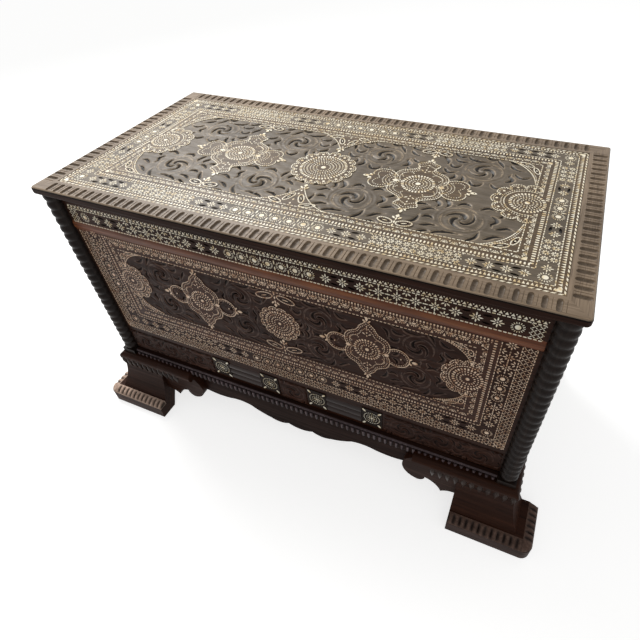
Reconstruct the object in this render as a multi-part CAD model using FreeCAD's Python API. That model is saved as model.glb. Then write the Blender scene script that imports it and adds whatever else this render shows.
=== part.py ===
"""Inlaid wooden chest with turned corner columns, bracket feet and a hinged lid.

Frame: +Z up, +X to the right seen from the front, the front faces -Y.
The origin is on the floor, at the middle of the chest's overall footprint.
All lengths are millimetres.
"""
import FreeCAD, Part
import os

V = FreeCAD.Vector

# Overall sizes
LID_W = 1100.0
LID_D = 560.0
HEIGHT = 707.0
LID_OVERHANG = 25.0

# Lid
LID_T = 17.0
LID_EDGE_R = 5.0
LID_CORNER_R = 9.0
LID_BORDER_W = 40.0
LID_FIELD_STEP = 1.0
LID_REST_GAP = 0.3
BATTEN_W = 45.0
BATTEN_T = 18.0
BATTEN_FROM_SIDE = 90.0
BATTEN_END_GAP = 4.0

# Carcass boards, from the top down
BOARD_T = 20.0
BACK_T = 18.0
BOTTOM_T = 15.0
FRIEZE_H = 68.0
STRIP_H = 24.0
STRIP_PROUD = 2.5
STRIP_ROUND_R = 2.0
RAIL_H = 76.0
BACK_BOARDS = 3

# Recessed reeded fields in the front lower rail
REED_FROM_MIDDLE = 136.0
REED_W = 90.0
REED_MARGIN = 9.0
REED_DEPTH = 3.0

# Corner posts with turned columns
COLUMN_R = 20.0
COLUMN_RINGS = 24
RING_GROOVE = 2.6
RING_FILLET_H = 2.4

# Base moulding under the boards
BASE_H = 167.0
MOULDING_H = 32.0
MOULDING_PROUD = 10.0
MOULDING_LEDGE = 15.0

# Apron below the base moulding
APRON_T = 20.0
APRON_PROUD = 3.0
APRON_SIDE_DROP = 64.0
APRON_SHOULDER_RISE = 5.0
APRON_SIDE_DIP = 4.0
APRON_LOBE_DROP = 96.0
APRON_NOTCH_RISE = 9.0
APRON_LOBE_END_RISE = 6.0
APRON_TURNS = (36.0, 62.0, 90.0, 120.0, 150.0, 185.0, 214.0, 245.0, 290.0)
APRON_SPREAD_FRONT = 1.0
APRON_SPREAD_SIDE = 0.62

# Bracket feet
FOOT_FRONT_LEN = 125.0
FOOT_SIDE_LEN = 62.0
FOOT_REAR_LEN = 110.0
FOOT_FLARE = 56.0
FOOT_SIDE_FLARE = 70.0
FOOT_BASE_H = 50.0
FOOT_BASE_EDGE_R = 6.0
FOOT_CORNER_R = 22.0
FOOT_NECK_FLARE = 29.0
FOOT_WAIST_FLARE = 10.5
FOOT_WAIST_Z = 100.0
FOOT_THICK = 48.0
LIP_OUT = 8.0
LIP_RISE = 17.0
LIP_DROP = 12.0
LIP_FLAT = 8.0
LIP_QUIRK = 5.0
LIP_SHOULDER_OUT = 4.8
LIP_SHOULDER_RISE = 11.9

# Scrolled bracket wings beside the feet
WING_T = 19.0
WING_LEN_FRONT = 133.0
WING_LEN_SIDE = 80.0
WING_LOBE_DROP = 91.0
WING_NOTCH_DROP = 70.0
WING_CUSP_DROP = 109.0
WING_HEEL_DROP = 93.0
WING_CURL = 7.0
WING_TOP_SHARE = 0.82
WING_LOBE_SHARE = 0.7
WING_CURL_SHARE = 0.6
WING_NOTCH_SHARE = 0.565
WING_ARCH_SHARE = 0.44
WING_CUSP_SHARE = 0.25
WING_HEEL_SHARE = 0.12

# Butt hinges on the back
HINGE_FROM_END = 165.0
HINGE_LEN = 75.0
HINGE_KNUCKLES = 5
KNUCKLE_GAP = 0.4
BARREL_R = 4.0
BARREL_OFF = 0.3
PIN_R = 2.0
PIN_FIT = 0.05
PIN_HEAD_R = 3.2
PIN_HEAD_T = 1.6
LEAF_T = 2.0
LEAF_DOWN = 38.0
LEAF_UP = 14.5
LEAF_CLEAR = 0.5
SCREW_R = 1.6
SCREW_HEAD_R = 3.0
SCREW_HEAD_T = 1.4
SCREW_HEAD_ROUND = 0.84
SCREW_LEN = 13.0
SCREW_FIT = 0.1
SCREWS_PER_LEAF = 3
SCREW_SPREAD = 54.0

# Levels, measured up from the floor
LID_BOTTOM = HEIGHT - LID_T
BODY_TOP = LID_BOTTOM - LID_REST_GAP
FRIEZE_BOTTOM = BODY_TOP - FRIEZE_H
STRIP_BOTTOM = FRIEZE_BOTTOM - STRIP_H
MOULDING_TOP = BASE_H + MOULDING_H
RAIL_TOP = MOULDING_TOP + RAIL_H
PLINTH_TOP = MOULDING_TOP

# Plan, with the origin in the middle of the footprint
HINGE_OUT = BARREL_OFF + BARREL_R
HALF_W = LID_W / 2
FRONT = FOOT_FLARE - (FOOT_FLARE + LID_D + HINGE_OUT + BARREL_R) / 2
BACK = FRONT + LID_D
LEFT = -HALF_W
WALL_IN = LID_OVERHANG + BOARD_T
POST_OUT = WALL_IN - 2 * COLUMN_R
COLUMN_AXIS = WALL_IN - COLUMN_R
MOULDING_IN = LID_OVERHANG - MOULDING_PROUD
MOULDING_BACK_IN = WALL_IN + MOULDING_LEDGE
APRON_IN = LID_OVERHANG - APRON_PROUD
WING_IN = APRON_IN - WING_T
INNER_X0 = LEFT + WALL_IN
INNER_X1 = -INNER_X0
HINGE_FROM_MIDDLE = INNER_X1 - HINGE_FROM_END
INNER_Y0 = FRONT + WALL_IN
INNER_Y1 = BACK - BACK_T
SIDE_Y1 = BACK - WALL_IN
LONG = 4 * LID_W


def box(x0, x1, y0, y1, z0, z1):
    """Box between two corners."""
    return Part.makeBox(x1 - x0, y1 - y0, z1 - z0, V(x0, y0, z0))


def face(place, start, steps):
    """Flat face: each step is a point to draw a line to, or an arc's middle and end."""
    edges = []
    here = start
    for step in list(steps) + [start]:
        if isinstance(step[0], tuple):
            middle, end = step
            edges.append(Part.Arc(place(*here), place(*middle), place(*end)).toShape())
        else:
            end = step
            edges.append(Part.LineSegment(place(*here), place(*end)).toShape())
        here = end
    return Part.Face(Part.Wire(edges))


def mirrored(shape):
    """The same piece on the other side of the chest."""
    return shape.mirror(V(0, 0, 0), V(1, 0, 0))


def save(name, shape):
    """Write one piece; a group of loose solids is written as one compound."""
    shape.exportStep("parts/" + name + ".step")


def save_pair(name, shape):
    """Write a left piece and its mirrored right piece; the name holds the word left."""
    save(name, shape)
    save(name.replace("left", "right"), mirrored(shape))


def front_place(along):
    """Points of a profile that is seen from the side and runs along X."""
    return lambda inset, z: V(along, FRONT + inset, z)


def side_place(along):
    """Points of a profile that is seen from the front and runs along Y."""
    return lambda inset, z: V(LEFT + inset, along, z)


def plan_prism(points):
    """Upright prism over a plan outline."""
    corners = [V(x, y, -LONG) for x, y in points]
    return Part.Face(Part.makePolygon(corners + corners[:1])).extrude(V(0, 0, 2 * LONG))


def lid():
    """Lid board with a mitred border of four strips and two battens underneath."""
    slab = box(LEFT, -LEFT, FRONT, BACK, LID_BOTTOM, HEIGHT)
    corners = [e for e in slab.Edges if abs(e.tangentAt(0).z) > 0.5 and e.BoundBox.YMax < 0]
    slab = slab.makeFillet(LID_CORNER_R, corners)
    rims = [e for e in slab.Edges if e.BoundBox.ZLength < LID_T / 2 and e.BoundBox.YMin < BACK - LID_EDGE_R]
    slab = slab.makeFillet(LID_EDGE_R, rims)
    x0 = LEFT + LID_BORDER_W
    y0 = FRONT + LID_BORDER_W
    y1 = BACK - LID_BORDER_W
    save("lid_panel", box(x0, -x0, y0, y1, LID_BOTTOM, HEIGHT - LID_FIELD_STEP))
    front = plan_prism([(LEFT, FRONT), (-LEFT, FRONT), (-x0, y0), (x0, y0)])
    rear = plan_prism([(LEFT, BACK), (-LEFT, BACK), (-x0, y1), (x0, y1)])
    left = plan_prism([(LEFT, FRONT), (x0, y0), (x0, y1), (LEFT, BACK)])
    save("lid_border_front", slab.common(front))
    rear_strip = slab.common(rear)
    save("lid_border_back", rear_strip.cut(screw_holes(LID_BOTTOM + LEAF_UP - SCREW_HEAD_R - LEAF_T)))
    save_pair("lid_border_left", slab.common(left))
    batten_x = INNER_X0 + BATTEN_FROM_SIDE
    batten = box(batten_x, batten_x + BATTEN_W, INNER_Y0 + BATTEN_END_GAP, INNER_Y1 - BATTEN_END_GAP,
                 LID_BOTTOM - BATTEN_T, LID_BOTTOM)
    save_pair("lid_batten_left", batten)


def bead_strip(place, along):
    """Rounded strip between the frieze and the panel."""
    proud = LID_OVERHANG - STRIP_PROUD
    middle = (FRIEZE_BOTTOM + STRIP_BOTTOM) / 2
    steps = [
        (LID_OVERHANG, FRIEZE_BOTTOM - STRIP_ROUND_R),
        ((proud, middle), (LID_OVERHANG, STRIP_BOTTOM + STRIP_ROUND_R)),
        (LID_OVERHANG, STRIP_BOTTOM),
        (WALL_IN, STRIP_BOTTOM),
        (WALL_IN, FRIEZE_BOTTOM),
    ]
    return face(place, (LID_OVERHANG, FRIEZE_BOTTOM), steps).extrude(along)


def front_boards():
    """Frieze rail, strip, panel and lower rail between the front posts."""
    y0 = FRONT + LID_OVERHANG
    y1 = FRONT + WALL_IN
    save("front_frieze_rail", box(INNER_X0, INNER_X1, y0, y1, FRIEZE_BOTTOM, BODY_TOP))
    save("front_bead_strip", bead_strip(front_place(INNER_X0), V(INNER_X1 - INNER_X0, 0, 0)))
    save("front_panel", box(INNER_X0, INNER_X1, y0, y1, RAIL_TOP, STRIP_BOTTOM))
    rail = box(INNER_X0, INNER_X1, y0, y1, MOULDING_TOP, RAIL_TOP)
    for side in (-1, 1):
        x = side * REED_FROM_MIDDLE
        rail = rail.cut(box(x - REED_W / 2, x + REED_W / 2, y0, y0 + REED_DEPTH,
                            MOULDING_TOP + REED_MARGIN, RAIL_TOP - REED_MARGIN))
    save("front_lower_rail", rail)


def side_boards():
    """Frieze rail, strip, panel and lower rail between a front and a rear post."""
    x0 = LEFT + LID_OVERHANG
    x1 = LEFT + WALL_IN
    save_pair("left_frieze_rail", box(x0, x1, INNER_Y0, SIDE_Y1, FRIEZE_BOTTOM, BODY_TOP))
    save_pair("left_bead_strip", bead_strip(side_place(INNER_Y0), V(0, SIDE_Y1 - INNER_Y0, 0)))
    save_pair("left_panel", box(x0, x1, INNER_Y0, SIDE_Y1, RAIL_TOP, STRIP_BOTTOM))
    save_pair("left_lower_rail", box(x0, x1, INNER_Y0, SIDE_Y1, MOULDING_TOP, RAIL_TOP))


def back_and_bottom():
    """Plain boards across the back and one floor board on the moulding's ledge."""
    step = (BODY_TOP - MOULDING_TOP) / BACK_BOARDS
    holes = screw_holes(LID_BOTTOM - LEAF_DOWN / 2)
    for index in range(BACK_BOARDS):
        z0 = MOULDING_TOP + index * step
        board = box(INNER_X0, INNER_X1, INNER_Y1, BACK, z0, z0 + step)
        if index == BACK_BOARDS - 1:
            board = board.cut(holes)
        save("back_board_%d" % (index + 1), board)
    save("bottom_board", box(INNER_X0, INNER_X1, INNER_Y0, INNER_Y1, MOULDING_TOP, MOULDING_TOP + BOTTOM_T))


def column():
    """Turned stack of rounded rings, standing on the Z axis from the plinth block to the top."""
    length = BODY_TOP - PLINTH_TOP
    pitch = length / COLUMN_RINGS
    neck = COLUMN_R - RING_GROOVE
    edges = []
    for index in range(COLUMN_RINGS):
        low = PLINTH_TOP + index * pitch
        belly = low + RING_FILLET_H
        high = low + pitch
        edges.append(Part.LineSegment(V(neck, 0, low), V(neck, 0, belly)).toShape())
        bulge = V(COLUMN_R, 0, (belly + high) / 2)
        edges.append(Part.Arc(V(neck, 0, belly), bulge, V(neck, 0, high)).toShape())
    ends = [V(neck, 0, BODY_TOP), V(0, 0, BODY_TOP), V(0, 0, PLINTH_TOP), V(neck, 0, PLINTH_TOP)]
    edges += [Part.LineSegment(a, b).toShape() for a, b in zip(ends, ends[1:])]
    return Part.Face(Part.Wire(edges)).revolve(V(0, 0, 0), V(0, 0, 1), 360)


def posts():
    """Corner posts: a column on the corner, a stile behind it and a square plinth block below."""
    x_axis = LEFT + COLUMN_AXIS
    turned = column()
    front = turned.translated(V(x_axis, FRONT + COLUMN_AXIS, 0))
    stile = box(x_axis, INNER_X0, FRONT + COLUMN_AXIS, INNER_Y0, BASE_H, BODY_TOP)
    block = box(LEFT + POST_OUT, INNER_X0, FRONT + POST_OUT, INNER_Y0, BASE_H, PLINTH_TOP)
    save_pair("corner_post_front_left", front.fuse([stile, block]).removeSplitter())
    rear = turned.translated(V(x_axis, BACK - COLUMN_AXIS, 0))
    rear = rear.common(box(LEFT, x_axis, FRONT, BACK, BASE_H, BODY_TOP))
    stile = box(x_axis, INNER_X0, SIDE_Y1, BACK, BASE_H, BODY_TOP)
    block = box(LEFT + POST_OUT, INNER_X0, SIDE_Y1, BACK - POST_OUT, BASE_H, PLINTH_TOP)
    save_pair("corner_post_rear_left", rear.fuse([stile, block]).removeSplitter())


def base_mouldings():
    """Bars under the boards, with a ledge inside that carries the bottom board."""
    y0 = FRONT + MOULDING_IN
    y1 = FRONT + MOULDING_BACK_IN
    save("base_moulding_front", box(INNER_X0, INNER_X1, y0, y1, BASE_H, MOULDING_TOP))
    side = box(LEFT + MOULDING_IN, LEFT + MOULDING_BACK_IN, y1, SIDE_Y1, BASE_H, MOULDING_TOP)
    corner = box(LEFT + MOULDING_IN, INNER_X0, INNER_Y0, y1, BASE_H, MOULDING_TOP)
    save_pair("base_moulding_left", side.fuse(corner).removeSplitter())
    save("base_rail_back", box(INNER_X0, INNER_X1, SIDE_Y1, BACK, BASE_H, MOULDING_TOP))


def apron_face(place, half_length, spread):
    """Apron outline about its middle: three small lobes, a rise to each side, then a dip."""
    lobe = BASE_H - APRON_LOBE_DROP
    side = BASE_H - APRON_SIDE_DROP
    levels = (
        lobe + APRON_NOTCH_RISE,
        lobe,
        lobe + APRON_LOBE_END_RISE,
        (lobe + side) / 2,
        side,
        side + APRON_SHOULDER_RISE,
        side,
        side - APRON_SIDE_DIP,
        side,
    )
    right = [(turn * spread, z) for turn, z in zip(APRON_TURNS, levels)]
    left = [(-x, z) for x, z in right]
    edge = right[::-1] + [(0, lobe)] + left
    arcs = list(zip(edge[1::2], edge[2::2]))
    steps = [(half_length, BASE_H), (half_length, side), edge[0]] + arcs + [(-half_length, side)]
    return face(place, (-half_length, BASE_H), steps)


def aprons():
    """Scalloped boards between the feet at the front and at both sides."""
    half = HALF_W - FOOT_FRONT_LEN
    y0 = FRONT + APRON_IN
    front = apron_face(lambda s, z: V(s, y0, z), half, APRON_SPREAD_FRONT)
    save("apron_front", front.extrude(V(0, APRON_T, 0)))
    start = FRONT + FOOT_SIDE_LEN
    end = BACK - FOOT_REAR_LEN
    middle = (start + end) / 2
    x0 = LEFT + APRON_IN
    side = apron_face(lambda s, z: V(x0, middle + s, z), (end - start) / 2, APRON_SPREAD_SIDE)
    save_pair("apron_left", side.extrude(V(APRON_T, 0, 0)))


def lip_steps():
    """Rounded lip that runs round the top of the feet and wings, from its inner top edge outwards."""
    top = BASE_H + LIP_RISE
    turn = (MOULDING_IN + POST_OUT) / 2
    knee = BASE_H + LIP_FLAT - LIP_DROP
    return [
        (turn, top),
        ((-LIP_SHOULDER_OUT, BASE_H + LIP_SHOULDER_RISE), (-LIP_OUT, knee + LIP_FLAT)),
        (-LIP_OUT, knee),
        (-LIP_OUT + LIP_QUIRK, BASE_H - LIP_DROP),
    ]


def slab_steps(flare):
    """Outer edge of a foot's base slab, from its top down to the floor."""
    return [
        (-flare + FOOT_BASE_EDGE_R, FOOT_BASE_H),
        (-flare, FOOT_BASE_H - FOOT_BASE_EDGE_R),
        (-flare, 0),
    ]


def leg_face(place, flare):
    """Section of a foot: lip, hollow face flaring out, base slab and sloped back."""
    hollow = ((-FOOT_WAIST_FLARE, FOOT_WAIST_Z), (-FOOT_NECK_FLARE, FOOT_BASE_H))
    steps = lip_steps() + [hollow] + slab_steps(flare) + [
        (-FOOT_FLARE + FOOT_THICK, 0),
        (WALL_IN - FOOT_NECK_FLARE, FOOT_BASE_H),
        (WALL_IN, BASE_H - FOOT_BASE_H),
        (WALL_IN, BASE_H),
        (MOULDING_IN, BASE_H),
    ]
    return face(place, (MOULDING_IN, BASE_H + LIP_RISE), steps)


def side_slab():
    """Part of a front foot's base slab that reaches further out at the side than the slab does at the front."""
    x0 = LEFT - FOOT_SIDE_FLARE
    y0 = FRONT - FOOT_FLARE
    neck = -FOOT_NECK_FLARE
    long_side = face(side_place(y0), (neck, FOOT_BASE_H), slab_steps(FOOT_SIDE_FLARE) + [(neck, 0)])
    long_side = long_side.extrude(V(0, FOOT_FLARE + FOOT_SIDE_LEN, 0))
    inner = FOOT_SIDE_LEN
    front_end = face(front_place(x0), (inner, FOOT_BASE_H), slab_steps(FOOT_FLARE) + [(inner, 0)])
    return long_side.common(front_end.extrude(V(FOOT_SIDE_FLARE + neck, 0, 0)))


def feet():
    """Bracket feet; the front ones turn a rounded corner, the rear ones are flat at the back."""
    out = FOOT_FLARE + WALL_IN
    x0 = LEFT - out
    y0 = FRONT - out
    front_leg = leg_face(front_place(x0), FOOT_FLARE).extrude(V(out + FOOT_FRONT_LEN, 0, 0))
    side_leg = leg_face(side_place(y0), FOOT_FLARE).extrude(V(0, out + FOOT_SIDE_LEN, 0))
    corner = FOOT_FRONT_LEN
    front_leg = front_leg.common(plan_prism([(x0, y0), (LEFT + corner, y0), (LEFT + corner, FRONT + corner)]))
    corner = FOOT_SIDE_LEN
    side_leg = side_leg.common(plan_prism([(x0, y0), (LEFT + corner, FRONT + corner), (x0, FRONT + corner)]))
    socket = box(LEFT + POST_OUT, LEFT + WALL_IN, FRONT + POST_OUT, FRONT + WALL_IN, BASE_H, HEIGHT)
    left = LEFT - FOOT_SIDE_FLARE
    front = FRONT - FOOT_FLARE
    sharp = box(left, left + FOOT_CORNER_R, front, front + FOOT_CORNER_R, 0, FOOT_BASE_H)
    centre = V(left + FOOT_CORNER_R, front + FOOT_CORNER_R, 0)
    round_corner = Part.makeCylinder(FOOT_CORNER_R, FOOT_BASE_H, centre)
    foot = front_leg.fuse(side_leg).fuse(side_slab()).removeSplitter()
    save_pair("foot_front_left", foot.cut(socket).cut(sharp.cut(round_corner)).removeSplitter())
    rear = leg_face(side_place(BACK - FOOT_REAR_LEN), FOOT_SIDE_FLARE).extrude(V(0, FOOT_REAR_LEN, 0))
    socket = box(LEFT + POST_OUT, LEFT + WALL_IN, SIDE_Y1, BACK - POST_OUT, BASE_H, HEIGHT)
    save_pair("foot_rear_left", rear.cut(socket).removeSplitter())


def wing(outline_place, lip_place, thick, length_of, length, start):
    """Scrolled bracket: an outlined board with a rolled end, under a length of lip."""
    def at(share):
        return start + share * length

    lobe = BASE_H - WING_LOBE_DROP
    notch = BASE_H - WING_NOTCH_DROP
    cusp = BASE_H - WING_CUSP_DROP
    heel = BASE_H - WING_HEEL_DROP
    steps = [
        (at(WING_TOP_SHARE), BASE_H),
        ((at(1.0), (BASE_H + notch) / 2), (at(WING_LOBE_SHARE), lobe)),
        ((at(WING_CURL_SHARE), lobe + WING_CURL), (at(WING_NOTCH_SHARE), notch)),
        ((at(WING_ARCH_SHARE), notch - WING_CURL), (at(WING_CUSP_SHARE), cusp)),
        ((at(WING_HEEL_SHARE), heel - WING_CURL / 2), (at(0.0), heel)),
    ]
    board = face(outline_place, (at(0.0), BASE_H), steps).extrude(thick)
    lip_end = [(-LIP_OUT + LIP_QUIRK + WING_T, BASE_H - LIP_DROP), (MOULDING_IN, BASE_H)]
    lip = face(lip_place, (MOULDING_IN, BASE_H + LIP_RISE), lip_steps() + lip_end)
    return board.fuse(lip.extrude(length_of(WING_TOP_SHARE * length))).removeSplitter()


def wings():
    """Wings beside the front feet along the front, and beside all feet along the sides."""
    y0 = FRONT + WING_IN
    x0 = LEFT + WING_IN
    start = LEFT + FOOT_FRONT_LEN
    front = wing(lambda s, z: V(s, y0, z), front_place(start), V(0, WING_T, 0),
                 lambda d: V(d, 0, 0), WING_LEN_FRONT, start)
    save_pair("bracket_front_left", front)
    start = FRONT + FOOT_SIDE_LEN
    side = wing(lambda s, z: V(x0, s, z), side_place(start), V(WING_T, 0, 0),
                lambda d: V(0, d, 0), WING_LEN_SIDE, start)
    save_pair("bracket_side_front_left", side)
    start = BACK - FOOT_REAR_LEN
    rear = wing(lambda s, z: V(x0, 2 * start - s, z), side_place(start), V(WING_T, 0, 0),
                lambda d: V(0, -d, 0), WING_LEN_SIDE, start)
    save_pair("bracket_side_rear_left", rear)


def screw_places(z):
    """Middle of each screw head at one height, on both hinges."""
    step = SCREW_SPREAD / (SCREWS_PER_LEAF - 1)
    places = []
    for hinge in (-HINGE_FROM_MIDDLE, HINGE_FROM_MIDDLE):
        for index in range(SCREWS_PER_LEAF):
            places.append(V(hinge - SCREW_SPREAD / 2 + index * step, BACK, z))
    return places


def screw_holes(z):
    """Pilot holes in the wood for the screws at one height."""
    return Part.makeCompound([
        Part.makeCylinder(SCREW_R + SCREW_FIT, SCREW_LEN, place, V(0, -1, 0)) for place in screw_places(z)])


def screws(z):
    """Screws with round heads lying on a leaf."""
    solids = []
    for place in screw_places(z):
        shank = Part.makeCylinder(SCREW_R, SCREW_LEN + LEAF_T, place + V(0, LEAF_T, 0), V(0, -1, 0))
        head = Part.makeCylinder(SCREW_HEAD_R, SCREW_HEAD_T, place + V(0, LEAF_T, 0), V(0, 1, 0))
        rim = [e for e in head.Edges if e.BoundBox.YMin > place.y + LEAF_T + SCREW_HEAD_T / 2]
        solids.append(shank.fuse(head.makeFillet(SCREW_HEAD_ROUND, rim)).removeSplitter())
    return Part.makeCompound(solids)


def leaf(middle, z0, z1, screw_z, own):
    """Hinge leaf with its knuckles; own says which knuckles, counted from the left, are its own."""
    axis_y = BACK + HINGE_OUT
    x0 = middle - HINGE_LEN / 2
    step = HINGE_LEN / HINGE_KNUCKLES
    plate = box(x0, x0 + HINGE_LEN, BACK, BACK + LEAF_T, z0, z1)
    clear_r = BARREL_R + LEAF_CLEAR
    for index in range(HINGE_KNUCKLES):
        low = x0 + index * step
        if index % 2 == own:
            start = V(low + KNUCKLE_GAP / 2, axis_y, LID_BOTTOM)
            barrel = Part.makeCylinder(BARREL_R, step - KNUCKLE_GAP, start, V(1, 0, 0))
            plate = plate.fuse(barrel)
        else:
            plate = plate.cut(box(low - KNUCKLE_GAP / 2, low + step + KNUCKLE_GAP / 2, BACK, BACK + LEAF_T,
                                  LID_BOTTOM - clear_r, LID_BOTTOM + clear_r))
    bore = Part.makeCylinder(PIN_R + PIN_FIT, LONG, V(-LONG / 2, axis_y, LID_BOTTOM), V(1, 0, 0))
    plate = plate.cut(bore)
    for place in screw_places(screw_z):
        plate = plate.cut(Part.makeCylinder(SCREW_R + SCREW_FIT, LEAF_T, place, V(0, 1, 0)))
    return plate.removeSplitter()


def hinges():
    """Two butt hinges: a leaf on the back, a leaf on the lid's edge and a headed pin."""
    low_screws = LID_BOTTOM - LEAF_DOWN / 2
    high_screws = LID_BOTTOM + LEAF_UP - SCREW_HEAD_R - LEAF_T
    middle = -HINGE_FROM_MIDDLE
    low_leaf = leaf(middle, LID_BOTTOM - LEAF_DOWN, LID_BOTTOM - LEAF_CLEAR, low_screws, 0)
    high_leaf = leaf(middle, LID_BOTTOM + LEAF_CLEAR, LID_BOTTOM + LEAF_UP, high_screws, 1)
    save_pair("hinge_left_body_leaf", low_leaf)
    save_pair("hinge_left_lid_leaf", high_leaf)
    start = V(middle - HINGE_LEN / 2, BACK + HINGE_OUT, LID_BOTTOM)
    pin = Part.makeCylinder(PIN_R, HINGE_LEN, start, V(1, 0, 0))
    head = Part.makeCylinder(PIN_HEAD_R, PIN_HEAD_T, start, V(-1, 0, 0))
    tail = Part.makeCylinder(PIN_HEAD_R, PIN_HEAD_T, start + V(HINGE_LEN, 0, 0), V(1, 0, 0))
    save_pair("hinge_left_pin", pin.fuse([head, tail]).removeSplitter())
    save("hinge_screws_body", screws(low_screws))
    save("hinge_screws_lid", screws(high_screws))


os.makedirs("parts", exist_ok=True)
lid()
front_boards()
side_boards()
back_and_bottom()
posts()
base_mouldings()
aprons()
feet()
wings()
hinges()
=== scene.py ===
"""Looks of the inlaid wooden chest: carving, inlay, finishes, light and camera.

Lengths are millimetres, turned into metres where a mesh is made.
A sheet is one decorated face of the chest: u runs to the right, v runs up and h stands off the face.
A skin is a set of points and the faces over them.
A bit is what puts one small outline of inlay at a place, turned.
A motif is three lists of outlines: its bits, the grounds under them and its dark leaves, ebony sheets laid
in as painted shade of leaf hollows.
"""
import math
from collections import namedtuple

import bmesh
import bpy
import numpy as np
from mathutils import Matrix, Vector


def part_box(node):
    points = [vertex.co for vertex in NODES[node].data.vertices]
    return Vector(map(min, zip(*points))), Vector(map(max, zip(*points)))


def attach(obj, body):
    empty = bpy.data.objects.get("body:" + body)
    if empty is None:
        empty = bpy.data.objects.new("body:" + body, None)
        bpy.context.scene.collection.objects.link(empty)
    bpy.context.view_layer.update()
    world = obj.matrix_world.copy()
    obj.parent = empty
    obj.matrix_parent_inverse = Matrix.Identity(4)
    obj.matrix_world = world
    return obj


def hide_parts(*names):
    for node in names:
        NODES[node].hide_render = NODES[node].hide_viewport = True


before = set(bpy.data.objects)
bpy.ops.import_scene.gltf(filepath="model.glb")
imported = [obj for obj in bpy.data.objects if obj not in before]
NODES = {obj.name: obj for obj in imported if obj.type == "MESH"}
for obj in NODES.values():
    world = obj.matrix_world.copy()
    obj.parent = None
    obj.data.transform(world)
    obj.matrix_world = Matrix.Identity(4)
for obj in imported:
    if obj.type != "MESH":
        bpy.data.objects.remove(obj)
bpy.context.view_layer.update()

MM = 0.001
WELD_GAP = 0.001 * MM
TURN = 2 * math.pi
UPRIGHT = math.pi / 2
SIDES = (-1, 1)
CORNERS = ((-1, -1), (-1, 1), (1, -1), (1, 1))
NAMED_SIDES = (("left", -1), ("right", 1))

# Inlay: how far it stands on the wood, how deep it is let in and the steps between neighbours' tops
INLAY_PROUD = 0.35
INLAY_SUNK = 0.5
INLAY_STEP = 0.008
INLAY_STEPS = 9
VENEER_PROUD = 0.1
SHADE_LEAF_PROUD = 0.2

# Carving
CUT_OVER = 2.0
FIELD_POCKET = 6.0
HOLLOW_DEEP = 2.4
GROUND_DROP = 0.9
LID_GRID = 1.7
FRONT_GRID = 1.5
SIDE_GRID = 1.7
CRISP = 35.0
CRISP_ROUND = 40.0
CRISP_CARVED = 50.0

# Lid ornament; rows are measured in from the lid's edge, motifs and scrolls from its middle
# How far down the lid's edge the pale rim wood, a painted sheen, reaches; below it the edge takes the dark
# wood
RIM_SHEEN_DEPTH = 2.4
FLUTE_PITCH = 20.4
FLUTE_FROM = 3.2
FLUTE_TO = 33.0
FLUTE_DEEP = 4.4
FLUTE_HALF = 5.1
FLUTE_SPACE = 4.0
GROOVE_DEEP = 1.2
GROOVE_HALF = 0.9
LID_ROPE = 43.0
LID_TEETH = 48.6
LID_LINE_OUT = 58.6
LID_BAND = 74.5
LID_LINE_IN = 91.5
LID_COMB = 99.0
LID_FANS = 109.0
LID_FIELD = 124.0
LID_ROW_SPACE = 6.0
LID_MEDALLION_X = 208
LID_WHEEL_X = 418
LID_WHEEL_CLEAR = 37.0
LID_SCROLLS = (104, 317)
LID_SCROLL_RISE = 93

# Ornament of the walls; heights are measured from the lid's top, widths from the middle
FRIEZE_TEETH = -46.0
FRIEZE_LINE_UP = -52.5
FRIEZE_BAND = -70.0
FRIEZE_LINE_LOW = -84.0
PANEL_COMB = -113.5
PANEL_FINE_LINE = -118.5
PANEL_FANS = -121.5
PANEL_COMB_PAST = 24.0
PANEL_FANS_PAST = 8.0
FIELD_TOP = -141.0
FIELD_LOW = -320.0
FIELD_MID = (FIELD_TOP + FIELD_LOW) / 2
FIELD_HALF_H = (FIELD_TOP - FIELD_LOW) / 2
FRAME_LOW = -420.0
FRAME_HALF = 498.0
SIDE_FRAME_HALF = 229.0
FRONT_MEDALLION_X = 198
FRONT_WHEEL_X = 398
FRONT_WHEEL_CLEAR = 32.0
FRONT_SCROLLS = (92, 300)
FRONT_SCROLL_RISE = 44
FRONT_SCROLL = 0.8
SIDE_SCROLLS = (78,)
SIDE_SCROLL_RISE = 46
SIDE_SCROLL = 0.72

# Rows of a wall's frame at the sides and the bottom, measured in from the frame's edge
ROW_EDGE = 0.8
ROW_LINE_OUT = 24.0
ROW_BAND = 41.0
ROW_LINE_IN = 57.5
ROW_COMB = 67.0
ROW_FANS = 77.0
ROW_FIELD = 95.0
ROW_SPACE = 8.0
ROW_SPACE_TOP = 12.0
SIDE_WHEEL_X = SIDE_FRAME_HALF - ROW_FIELD + 2.0
SIDE_WHEEL_CLEAR = 25.0

# Bands, their discs and flowers, pitches of rows and sizes of cells
BAND_HALF = 16.0
BAND_MARGIN = 1.5
BAND_DISC = 13.0
CORNER_DISC = 13.5
LID_FLOWER = 10.5
WALL_FLOWER = 12.0
LID_ROPE_PITCH = 10.7
LID_TEETH_PITCH = 6.5
LID_COMB_PITCH = 6.6
LINE_PITCH = 7.8
LINE_DASH = 5.4
COMB_PITCH = 6.2
TRIANGLE_PITCH = 9.6
STAR_CELL = 33.5
GRID_CELL = 14.6
FRAME_CELL = 12.0
FRIEZE_CELL = 11.0

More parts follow.
